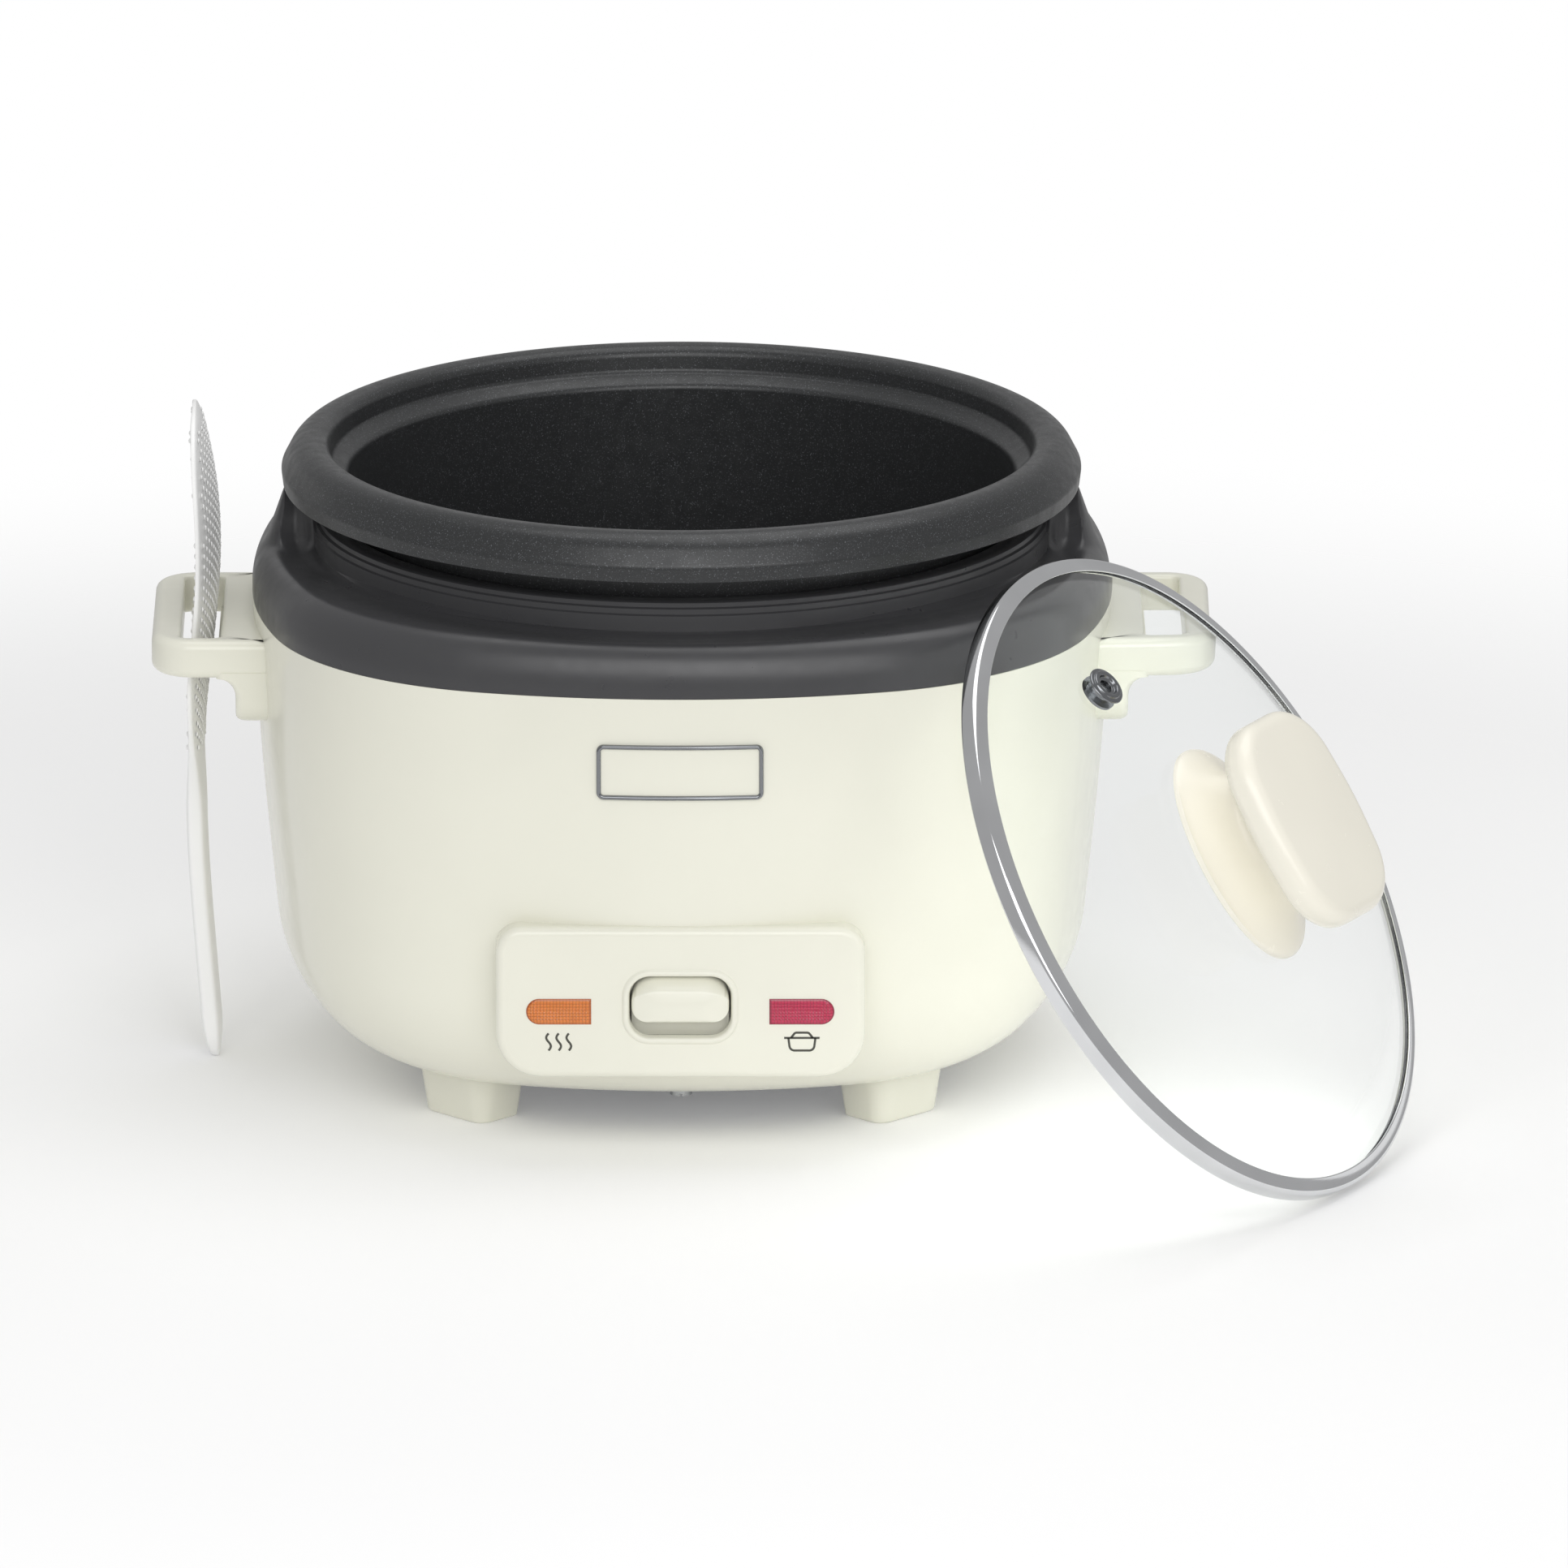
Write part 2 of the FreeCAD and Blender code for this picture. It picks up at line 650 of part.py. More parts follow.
def thermostat_sleeve():
    """The flanged guide round the magnet, on the liner's floor."""
    inner = MAGNET_RADIUS + 1.4
    flange = CAP_RADIUS + 2.0
    top = CAP_TOP - CAP_HEIGHT - CAP_TRAVEL - GAP
    return polygon_turned([
        (inner, LINER_TOP_Z),
        (flange, LINER_TOP_Z),
        (flange, LINER_TOP_Z + 1.2),
        (inner + 1.4, LINER_TOP_Z + 1.2),
        (inner + 1.4, top),
        (inner, top),
    ])


def magnet():
    """The ring-shaped magnet on its rod."""
    outer = rod(MAGNET_RADIUS, Vector(0, 0, MAGNET_Z), Vector(0, 0, MAGNET_Z + MAGNET_HEIGHT))
    return outer.cut(rod(2.0 + RUN, Vector(0, 0, MAGNET_Z - 1), Vector(0, 0, MAGNET_Z + MAGNET_HEIGHT + 1)))


def magnet_rod():
    """The rod that the lever lifts by its collar."""
    shaft = rod(2.0, Vector(0, 0, LEVER_Z - 6.0), Vector(0, 0, MAGNET_Z + MAGNET_HEIGHT))
    ring = rod(5.0, Vector(0, 0, ROD_COLLAR_Z), Vector(0, 0, MAGNET_Z))
    return joined([shaft, ring])


def coil(radius, wire, z0, z1, turns):
    """A compression spring as one unbroken wire of eight flats between two heights."""
    pitch = (z1 - z0 - 2 * wire) / turns
    flats, steps = 8, 16
    corners = [2 * math.pi * k / flats for k in range(flats)]
    sections = []
    for k in range(steps * turns + 1):
        turn = 2 * math.pi * k / steps
        out = Vector(math.cos(turn), math.sin(turn), 0)
        middle = out * radius + AXIS * (z0 + wire + pitch * k / steps)
        ring = [middle + out * wire * math.cos(c) + AXIS * wire * math.sin(c) for c in corners]
        sections.append(Part.makePolygon(ring + ring[:1]))
    print("spring self gap", round(pitch - 2 * wire, 2))
    return Part.makeLoft(sections, True, True)


def float_spring():
    """The spring that lifts the sensor cap."""
    radius = (MAGNET_RADIUS + 2.8 + CAP_RADIUS - CAP_SHEET) / 2
    return coil(radius, 0.6, LINER_TOP_Z + 1.2 + SNUG, CAP_TOP - CAP_SHEET - SNUG, 4)


def magnet_spring():
    """The spring that parts the magnet from the ferrite."""
    return coil(6.0, 0.5, MAGNET_Z + MAGNET_HEIGHT + SNUG, FERRITE_Z - SNUG, 3)


def switch_lever():
    """The bent strip from the knob under the liner to the magnet's rod."""
    path = [(LIMB_Y, WINDOW_Z + 6.0), (LIMB_Y, LEVER_Z), (9.0, LEVER_Z)]
    face = face_of(sheet_edges(path, [0.0, 3.0, 0.0], -LEVER_SHEET, in_yz))
    strip = face.extrude(Vector(LEVER_WIDTH, 0, 0))
    strip.translate(Vector(-LEVER_WIDTH / 2, 0, 0))
    fork = box(-2.6, 2.6, -2.6, 12.0, LEVER_Z - 2, LEVER_Z + 4)
    half = LEVER_WIDTH / 2
    barrel = rod(PIN_RADIUS + 1.6, Vector(-half, PIVOT_Y, PIVOT_Z), Vector(half, PIVOT_Y, PIVOT_Z))
    web = box(-half, half, PIVOT_Y - 2.4, PIVOT_Y + 2.4, PIVOT_Z, LEVER_Z + 0.4)
    bore = rod(PIN_RADIUS + RUN, Vector(-half - 1, PIVOT_Y, PIVOT_Z), Vector(half + 1, PIVOT_Y, PIVOT_Z))
    return joined([strip.cut(fork), barrel, web]).cut(bore)


def switch_bracket():
    """The inverted U under the liner's floor that carries the pivot pin."""
    inner = LEVER_WIDTH / 2 + 1.0
    outer = inner + 1.6
    y0, y1 = PIVOT_Y - 8.0, PIVOT_Y + 8.0
    block = box(-outer, outer, y0, y1, PIVOT_Z - 5.0, LINER_Z)
    gap = box(-inner, inner, y0 - 1, y1 + 1, PIVOT_Z - 6.0, LINER_Z - 1.6)
    bore = rod(PIN_RADIUS + RUN, Vector(-outer - 1, PIVOT_Y, PIVOT_Z), Vector(outer + 1, PIVOT_Y, PIVOT_Z))
    return block.cut([gap, bore])


def pivot_pin():
    """The pin through the bracket and the lever, with a head at each end."""
    end = LEVER_WIDTH / 2 + 1.0 + 1.6 + SNUG
    shaft = rod(PIN_RADIUS, Vector(-end - 1.2, PIVOT_Y, PIVOT_Z), Vector(end + 1.2, PIVOT_Y, PIVOT_Z))
    heads = []
    for side in (-1, 1):
        inner = Vector(side * end, PIVOT_Y, PIVOT_Z)
        heads.append(rod(2.6, inner, inner + Vector(side * 1.2, 0, 0)))
    return joined([shaft] + heads)


def switch_knob():
    """The bowed bar in the window, the plate behind it and the stem to the lever."""
    half = WINDOW_WIDTH / 2 - 1.3
    low, high = WINDOW_Z - 4.6, WINDOW_Z + 5.4
    back = -PANEL_FACE + PANEL_WALL + SHIELD_ROOM
    front = -PANEL_FACE - 3.0
    slope = WINDOW_Z + WINDOW_HEIGHT / 2 + 1.5
    bow = [(back, low), (front + 1.4, low), (front, WINDOW_Z + 0.4), (front + 1.4, high), (back, slope)]
    bar = prism(bow, [0.0, 1.6, 12.0, 1.6, 0.0], in_yz, Vector(2 * half, 0, 0))
    bar.translate(Vector(-half, 0, 0))
    barrel = prism(
        [(-half, back), (half, back), (half, front + 2.6), (0, front - 0.4), (-half, front + 2.6)],
        [0.0, 0.0, 2.0, 55.0, 2.0],
        in_xy,
        Vector(0, 0, slope - low + 2),
    )
    barrel.translate(Vector(0, 0, low - 1))
    ends = front_plate(half, low, slope, [5.0, 5.0, 8.0, 8.0], front - 2, back)
    plate = box(-half, half, back, back + 1.4, WINDOW_Z - WINDOW_HEIGHT / 2 - 0.5, SHIELD_TOP)
    stem = box(-5.0, 5.0, back + 1.0, LIMB_Y - LEVER_SHEET, WINDOW_Z - 3.0, WINDOW_Z + 3.0)
    return joined([bar.common(barrel).common(ends), plate, stem])


def microswitch_body():
    """The switch that the lever's rear arm holds or lets go."""
    top = LEVER_Z - 3.0
    body = box(-5.1, 5.1, PLUNGER_Y - 14.0, PLUNGER_Y + 14.0, FOOT_HEIGHT, top)
    bore = rod(1.6 + RUN, Vector(0, PLUNGER_Y, top - 4.0), Vector(0, PLUNGER_Y, top + 1))
    pins = [box(-3.2, 3.2, PLUNGER_Y + 14.0, PLUNGER_Y + 20.0, z, z + 0.8) for z in (top - 4, top - 10)]
    return joined([body.cut(bore)] + pins)


def microswitch_plunger():
    """The small button under the lever."""
    top = LEVER_Z - GAP
    return rod(1.6, Vector(0, PLUNGER_Y, LEVER_Z - 6.4), Vector(0, PLUNGER_Y, top))


def keep_warm_heater():
    """The heater strip clipped round the back of the liner."""
    r0 = LINER_RADIUS + SNUG
    strip = [(r0, POT_Z + 8), (r0 + 1.4, POT_Z + 8), (r0 + 1.4, POT_Z + 30), (r0, POT_Z + 30)]
    return at_turn(turned(rounded_edges(strip, [0.0] * 4, in_xz, closed=True), 100), 100)


def thermal_fuse():
    """The fuse in its clip under the liner's floor."""
    z = LINER_Z - 3.0
    tube = rod(2.2, Vector(-58, 12, z), Vector(-30, 12, z))
    clip = box(-48, -40, 9.0, 15.0, z - 2.8, LINER_Z)
    return joined([tube, clip])


def lamp(side):
    """One indicator lamp behind its lens."""
    x = side * LENS_X
    front = -PANEL_FACE + PANEL_WALL + 1.6
    bulb = rod(2.6, Vector(x, front + 2.0, LENS_Z), Vector(x, front + 12.0, LENS_Z))
    tip = Part.makeSphere(2.6, Vector(x, front + 2.6, LENS_Z))
    base = rod(LAMP_RADIUS, Vector(x, front + 4.5, LENS_Z), Vector(x, front + 16.0, LENS_Z))
    return joined([bulb, tip, base])


def lens_outline(side, grow, y0, y1):
    """A lens outline, rounded on its outer end, drawn out from y0 to y1."""
    long = LENS_LENGTH / 2 + grow
    tall = LENS_HEIGHT / 2 + grow
    flat = -side * long
    shoulder = side * (long - tall)
    edges = [
        Part.LineSegment(Vector(flat, y0, -tall), Vector(shoulder, y0, -tall)).toShape(),
        Part.Arc(Vector(shoulder, y0, -tall), Vector(side * long, y0, 0), Vector(shoulder, y0, tall))
        .toShape(),
        Part.LineSegment(Vector(shoulder, y0, tall), Vector(flat, y0, tall)).toShape(),
        Part.LineSegment(Vector(flat, y0, tall), Vector(flat, y0, -tall)).toShape(),
    ]
    shape = face_of(edges).extrude(Vector(0, y1 - y0, 0))
    shape.translate(Vector(side * LENS_X, 0, LENS_Z))
    return shape


def lens(side):
    """A lens that stands a little proud of the panel, with a flange behind it."""
    inner = -PANEL_FACE + PANEL_WALL
    face = lens_outline(side, -SNUG, -PANEL_FACE - 0.5, inner + SNUG)
    flange = lens_outline(side, 1.2, inner, inner + 1.2)
    return joined([face, flange])


def control_panel():
    """The raised plate on the front with its three windows."""
    half = PANEL_WIDTH / 2
    high = PANEL_FOOT + PANEL_HEIGHT
    radii = [PANEL_LOW_ROUND, PANEL_LOW_ROUND, PANEL_TOP_ROUND, PANEL_TOP_ROUND]
    deep = -HALF_WIDTH + 50.0
    block = front_plate(half, PANEL_FOOT, high, radii, -PANEL_FACE, deep)
    rim = [e for e in block.Edges if all(abs(v.Point.y + PANEL_FACE) < 1e-6 for v in e.Vertexes)]
    block = block.makeFillet(2.6, rim)
    inner = [r - PANEL_WALL for r in radii]
    pocket = front_plate(
        half - PANEL_WALL,
        PANEL_FOOT + PANEL_WALL,
        high - PANEL_WALL,
        inner,
        -PANEL_FACE + PANEL_WALL,
        deep + 1,
    )
    lip = window_plate(1.6, -PANEL_FACE - 0.9, -PANEL_FACE + 0.5)
    hollow = joined([block.cut(pocket), lip])
    cuts = [wall_block(SNUG), window_plate(0.0, -PANEL_FACE - 5, -PANEL_FACE + PANEL_WALL + 1)]
    for side in (-1, 1):
        cuts.append(lens_outline(side, 0.0, -PANEL_FACE - 2, -PANEL_FACE + PANEL_WALL + 1))
    return hollow.cut(cuts)


def window_plate(grow, y0, y1):
    """The switch window's rounded outline, grown and drawn out from y0 to y1."""
    tall = WINDOW_HEIGHT / 2 + grow
    plate = front_plate(WINDOW_WIDTH / 2 + grow, -tall, tall, [6.5 + grow] * 4, y0, y1)
    plate.translate(Vector(0, 0, WINDOW_Z))
    return plate


def badge_plate():
    """A bare plate on the front, bent to the wall behind it."""
    z = SEAM_Z - BADGE_DROP
    outer, _ = wall_path(1.2)
    inner, _ = wall_path(SNUG)
    band = [outer[0], outer[1], inner[1], inner[0]]
    skin = outline_ring(lambda place: rounded_edges(band, [0.0] * 4, place, closed=True))
    tall = BADGE_HEIGHT / 2
    frame = front_plate(BADGE_WIDTH / 2, z - tall, z + tall, [2.2] * 4, -HALF_WIDTH - 5, -HALF_WIDTH + 25)
    return skin.common(frame)


def handle():
    """The right handle: a slotted plate and the leg that is screwed to the wall."""
    inner = HALF_WIDTH - 14.0
    half = HANDLE_HALF
    plan = [(inner, -half), (HANDLE_REACH, -half), (HANDLE_REACH, half), (inner, half)]
    corner = [0.0, HANDLE_CORNER, HANDLE_CORNER, 0.0]
    plate = prism(plan, corner, in_xy, Vector(0, 0, HANDLE_THICK))
    plate.translate(Vector(0, 0, HANDLE_LOW))
    level = [e for e in plate.Edges if abs(e.Vertexes[0].Z - e.Vertexes[-1].Z) < 1e-6]
    edges = [e for e in level if e.CenterOfMass.x > inner + 1]
    plate = plate.makeFillet(3.0, edges)
    leg_x = HALF_WIDTH - wall_inset(HANDLE_LOW) + LEG_THICK
    low = HANDLE_LOW - LEG_DROP
    side = [
        (inner, low),
        (leg_x, low),
        (leg_x, HANDLE_LOW),
        (leg_x + 12, HANDLE_LOW),
        (leg_x + 12, HANDLE_LOW + 5),
        (inner, HANDLE_LOW + 5),
    ]
    leg = prism(side, [0.0, 3.5, 6.0, 0.0, 0.0, 0.0], in_xz, Vector(0, 2 * half, 0))
    leg.translate(Vector(0, -half, 0))
    tips = [(-half, low - 1), (half, low - 1), (half, HANDLE_TOP), (-half, HANDLE_TOP)]
    shape = prism(tips, [8.0, 8.0, 0.0, 0.0], in_yz, Vector(60, 0, 0))
    shape.translate(Vector(inner, 0, 0))
    hold = prism(plan, corner, in_xy, Vector(0, 0, 200))
    body = joined([plate, leg.common(shape).common(hold)])
    slot_in = SLOT_X - SLOT_WIDTH / 2
    slot_out = SLOT_X + SLOT_WIDTH / 2
    opening = [(slot_in, -SLOT_HALF), (slot_out, -SLOT_HALF), (slot_out, SLOT_HALF), (slot_in, SLOT_HALF)]
    slot = prism(opening, [2.5] * 4, in_xy, Vector(0, 0, HANDLE_THICK + 40))
    slot.translate(Vector(0, 0, HANDLE_LOW - 20))
    return body.cut([slot, wall_block(SNUG)])


def handle_fasteners(room=0.0):
    """The handle screws, two a side, as pairs of hole and screw."""
    pairs = []
    z = HANDLE_LOW - LEG_DROP / 2 + 0.5
    wall = HALF_WIDTH - wall_inset(z) - WALL
    for turn in (0, 180):
        for y in (-24.0, 24.0):
            sag = SIDE_RADIUS - math.sqrt(SIDE_RADIUS ** 2 - y * y)
            at = Vector(wall - sag - 0.8, y, z)
            shank = rod(1.7 + room, at - Vector(2, 0, 0), at + Vector(WALL + 4.6, 0, 0))
            head = rod(3.4, at - Vector(2.0, 0, 0), at)
            screw = joined([rod(1.7, at - Vector(2, 0, 0), at + Vector(WALL + 4.0, 0, 0)), head])
            pairs.append((at_turn(shank, turn), at_turn(screw, turn)))
    return pairs


def inner_pot():
    """The pot as one drawn sheet: flat bottom, tapered wall, lid ledge and wide rolled rim."""
    low_radius = POT_TOP_RADIUS - POT_TAPER
    ledge = CREST_Z - LEDGE_DROP
    lip = RIM_RADIUS
    path = [
        (0.0, POT_Z + POT_WALL),
        (low_radius, POT_Z + POT_WALL),
        (POT_TOP_RADIUS, ledge - 2.0),
        (POT_TOP_RADIUS + 5.4, ledge + 0.8),
        (POT_TOP_RADIUS + 6.2, CREST_Z - 0.6),
        (lip - 5.6, CREST_Z + 0.4),
        (lip - 0.6, RIM_LOW_Z + 4.8),
        (lip - 1.2, RIM_LOW_Z),
    ]
    radii = [0.0, POT_ROUND, 2.6, 2.2, 3.6, 8.0, 3.0, 0.0]
    return turned(sheet_edges(path, radii, POT_WALL, in_xz))


def lid_placement():
    """The lid's resting place: its band on the worktop, leaning on the right handle's front corner."""
    turn = math.radians(LID_TURN)
    lean = math.radians(LID_LEAN)
    level = Vector(math.sin(turn), -math.cos(turn), 0)
    along = Vector(math.cos(turn), math.sin(turn), 0)
    normal = level * math.cos(lean) + AXIS * math.sin(lean)
    up = AXIS * math.cos(lean) - level * math.sin(lean)
    height = LID_RADIUS * math.cos(lean) + 0.2
    corner = Vector(HANDLE_REACH - HANDLE_CORNER, -HANDLE_HALF + HANDLE_CORNER, HANDLE_TOP)
    plane = normal.dot(corner) + HANDLE_CORNER * math.cos(lean) + GAP
    out = (plane - height * math.sin(lean)) / math.cos(lean)
    hold = corner + level * HANDLE_CORNER
    climb = (HANDLE_TOP - height) / math.cos(lean)
    slide = math.sqrt((LID_RADIUS - LID_HOLD) ** 2 - climb ** 2)
    centre = level * out + along * (hold.dot(along) - slide) + AXIS * height
    side = normal.cross(up)
    return Placement(Matrix(
        up.x, side.x, normal.x, centre.x,
        up.y, side.y, normal.y, centre.y,
        up.z, side.z, normal.z, centre.z,
        0, 0, 0, 1,
    ))


def dome_z(radius):
    """The height of the glass's top at a radius, in the lid's own frame."""
    return APEX_Z - DOME_RADIUS + math.sqrt(DOME_RADIUS ** 2 - radius ** 2)


def lid_glass():
    """The domed glass with its vent hole and its screw hole."""
    edge = GLASS_EDGE
    mid = edge / 2
    top = dome_z(mid)
    edges = [
        Part.Arc(in_xz(0, APEX_Z - GLASS), in_xz(mid, top - GLASS), in_xz(edge, GLASS_LOW)).toShape(),
        Part.LineSegment(in_xz(edge, GLASS_LOW), in_xz(edge, GLASS_LOW + GLASS)).toShape(),
        Part.Arc(in_xz(edge, GLASS_LOW + GLASS), in_xz(mid, top), in_xz(0, APEX_Z)).toShape(),
        Part.LineSegment(in_xz(0, APEX_Z), in_xz(0, APEX_Z - GLASS)).toShape(),
    ]
    hole = rod(2.6, Vector(0, 0, APEX_Z - 12), Vector(0, 0, APEX_Z + 5))
    return turned(edges).cut([hole, vent_form([(0, -8), (4.4, -8), (4.4, 8), (0, 8)])])


def vent_form(points):
    """A turned shape that stands square on the glass at the vent's place."""
    shape = polygon_turned(points)
    tilt = math.degrees(math.asin(VENT_CIRCLE / DOME_RADIUS))
    shape.rotate(ORIGIN, BACK, tilt)
    shape.translate(Vector(VENT_CIRCLE, 0, dome_z(VENT_CIRCLE)))
    return at_turn(shape, VENT_TURN)


def steam_vent():
    """The rolled eyelet in the glass."""
    return vent_form([
        (2.4, -GLASS - 1.2),
        (6.0, -GLASS - 1.2),
        (6.0, -GLASS - 0.35),
        (4.4 - SNUG, -GLASS - 0.35),
        (4.4 - SNUG, 0.35),
        (6.4, 0.35),
        (6.4, 1.2),
        (4.6, 1.9),
        (3.4, 1.9),
        (2.4, 0.9),
    ])


def lid_band():
    """The steel channel round the glass's edge."""
    out = LID_RADIUS
    inner = GLASS_EDGE + SNUG
    slope = GLASS_EDGE / DOME_RADIUS
    lip = out - BAND_LIP
    rise = (GLASS_EDGE - lip) * slope
    low = GLASS_LOW - SNUG
    high = GLASS_LOW + GLASS + SNUG
    return polygon_turned([
        (lip, low + rise - 0.75),
        (inner - 1.0, 0.0),
        (out, 0.0),
        (out, BAND_HEIGHT),
        (inner - 1.0, BAND_HEIGHT + 0.15),
        (lip, high + rise + 0.75),
        (lip, high + rise + 0.05),
        (inner, high),
        (inner, low),
        (lip, low + rise - 0.05),
    ], [0.0, 0.0, 0.8, 1.2, 0.0, 0.0, 0.0, 0.0, 0.0, 0.0])


def grip_plate(length, width, bulge, z0, z1):
    """A long plate with bulging sides, on the lid's axis."""
    a, b = length / 2, width / 2
    corner = min(a, b) * 0.45
    half = [(-a, -b + bulge), (0, -b - bulge * 0.4), (a, -b + bulge)]
    points = half + [(-x, -y) for x, y in half]
    plate = prism(points, [corner, 90.0, corner] * 2, in_xy, Vector(0, 0, z1 - z0))
    plate.translate(Vector(0, 0, z0))
    return plate


def oval(half_length, half_width, z):
    """A closed oval wire on the lid's axis at a height."""
    return Part.Wire([Part.Ellipse(Vector(0, 0, z), half_length, half_width).toShape()])


def lid_handle():
    """The grip: a dished oval foot on the glass that narrows to a waist, and the bowed top plate."""
    foot_z = APEX_Z + SNUG
    top_z = foot_z + GRIP_RISE
    a, b = GRIP_FOOT_LENGTH / 2, GRIP_FOOT_WIDTH / 2
    flare = [(-3.0, 1.0, 1.0), (-0.5, 1.0, 1.0), (1.5, 0.95, 0.94), (4.0, 0.78, 0.7), (8.0, 0.66, 0.48)]
    flare += [(GRIP_RISE - 4.0, 0.6, 0.4), (GRIP_RISE + 2.0, 0.6, 0.4)]
    stem = Part.makeLoft([oval(a * u, b * v, foot_z + rise) for rise, u, v in flare], True, False)
    seat = Part.makeSphere(DOME_RADIUS + SNUG, Vector(0, 0, APEX_Z - DOME_RADIUS))
    deck = grip_plate(GRIP_LENGTH, GRIP_WIDTH, 2.5, top_z, top_z + GRIP_THICK)
    rims = [e for e in deck.Edges if abs(e.Vertexes[0].Z - e.Vertexes[-1].Z) < 1e-6]
    deck = deck.makeFillet(3.6, rims)
    bore = rod(2.0, Vector(0, 0, foot_z - 6), Vector(0, 0, foot_z + 14))
    return joined([stem, deck]).cut([seat, bore])


def lid_washer():
    """The soft washer between the screw head and the glass."""
    z = APEX_Z - GLASS
    ring = rod(9.0, Vector(0, 0, z - 2.2), Vector(0, 0, z))
    bowl = Part.makeSphere(DOME_RADIUS - GLASS - SNUG, Vector(0, 0, APEX_Z - DOME_RADIUS))
    return ring.common(bowl).cut(rod(2.2, Vector(0, 0, z - 4), Vector(0, 0, z + 2)))


def lid_screw():
    """The screw through the glass into the grip."""
    z = APEX_Z - GLASS - 2.2
    shank = rod(2.0 - RUN, Vector(0, 0, z), Vector(0, 0, APEX_Z + 12))
    head = rod(5.0, Vector(0, 0, z - 2.2), Vector(0, 0, z))
    slot = box(-6, 6, -0.6, 0.6, z - 2.2, z - 1.2)
    return joined([shank, head]).cut(slot)


def rice_paddle():
    """The paddle on edge in the left handle's slot: a bowed side view, dished across, cut to its outline."""
    top = PADDLE_LENGTH
    grip = PADDLE_GRIP_THICK / 2
    thin = PADDLE_THICK / 2
    line = [(0, 4.4), (20, 2.6), (45, 0.6), (75, -0.8), (105, -0.4), (135, 3.0), (165, 5.0), (190, 3.2)]
    line.append((210, -1.2))
    left, right = [], []
    for z, x in line:
        half = thin if z > 112 else grip - (grip - thin) * max(0.0, (z - 80) / 32, (12 - z) / 12)
        left.append(Vector(x - half, 0, z * top / 210))
        right.append(Vector(x + half, 0, z * top / 210))
    sides = []
    for points in (left, right[::-1]):
        curve = Part.BSplineCurve()
        curve.interpolate(points)
        sides.append(curve.toShape())
    caps = [
        Part.LineSegment(left[-1], right[-1]).toShape(),
        Part.LineSegment(right[0], left[0]).toShape(),
    ]
    profile = face_of([sides[0], caps[0], sides[1], caps[1]])
    blade = PADDLE_WIDTH / 2
    dish_radius = (blade ** 2 + PADDLE_DISH ** 2) / (2 * PADDLE_DISH)
    reach = math.degrees(math.asin((blade + 4) / dish_radius))
    centre = Vector(-dish_radius, 0, 0)
    profile.rotate(centre, AXIS, -reach)
    slab = profile.revolve(centre, AXIS, 2 * reach)
    stem = PADDLE_GRIP / 2
    shoulder = top * 0.5
    view = [
        (-stem * 0.8, 0), (stem * 0.8, 0), (stem, shoulder * 0.75), (blade, shoulder * 1.25),
        (blade, top), (-blade, top), (-blade, shoulder * 1.25), (-stem, shoulder * 0.75),
    ]
    radii = [8.0, 8.0, 40.0, 30.0, blade * 0.9, blade * 0.9, 30.0, 40.0]
    plan = prism(view, radii, in_yz, Vector(40, 0, 0))
    plan.translate(Vector(-20, 0, 0))
    paddle = slab.common(plan)
    paddle.translate(Vector(-SLOT_X - 1.0, 0, GAP))
    return paddle


def inlet_middle():
    """The height of the power inlet's middle."""
    return FOOT_HEIGHT + 42.0


def inlet_face():
    """How far back the inlet's face stands."""
    return HALF_WIDTH - wall_inset(inlet_middle()) + INLET_PROUD


def power_inlet():
    """The socket housing through the rear wall."""
    mid = inlet_middle()
    face = inlet_face()
    half, tall = INLET_WIDTH / 2, INLET_HEIGHT / 2
    block = front_plate(half, mid - tall, mid + tall, [4.0] * 4, HALF_WIDTH - 30, face)
    block = block.cut(wall_block(SNUG))
    sleeve = front_plate(
        half - INLET_WALL - SNUG,
        mid - tall + INLET_WALL + SNUG,
        mid + tall - INLET_WALL - SNUG,
        [1.0] * 4,
        LINER_RADIUS + 5.0,
        face - 1.0,
    )
    depth = LINER_RADIUS + 8.0
    wide, high = half - INLET_WALL - 3.0, tall - INLET_WALL - 3.0
    well = front_plate(wide, mid - high, mid + high, [1.5, 1.5, 4.0, 4.0], depth, face + 1)
    holes = [box(x - 2.1, x + 2.1, LINER_RADIUS, depth + 1, z - 1.1, z + 1.1) for x, z in inlet_pin_points()]
    return joined([block, sleeve]).cut([well] + holes)


def inlet_pin_points():
    """Where the three inlet pins stand across the socket."""
    mid = inlet_middle()
    return [(-7.0, mid - 1.6), (7.0, mid - 1.6), (0.0, mid + 2.4)]


def inlet_pins():
    """The three flat pins in the socket."""
    depth = LINER_RADIUS + 8.0
    pins = []
    for x, z in inlet_pin_points():
        pins.append(box(x - 2, x + 2, LINER_RADIUS + 2.0, depth + 11.0, z - 1, z + 1))
    return Part.makeCompound(pins)


def terminal_points():
    """Where the three screws of the terminal block stand, from the outer one in."""
    y = HALF_WIDTH - LIP_INSET - 18.5
    return [Vector(x, y, FOOT_HEIGHT) for x in (-45.0, -35.0, -25.0)]


def terminal_block():
    """The block where the inlet's wires meet the others."""
    outer, _, inner = terminal_points()
    block = box(outer.x - 5, inner.x + 5, outer.y - 7, outer.y + 7, FOOT_HEIGHT, FOOT_HEIGHT + 12)
    rise = [Vector(0, 0, 7), Vector(0, 0, 13)]
    return block.cut([rod(2.4, at + rise[0], at + rise[1]) for at in terminal_points()])


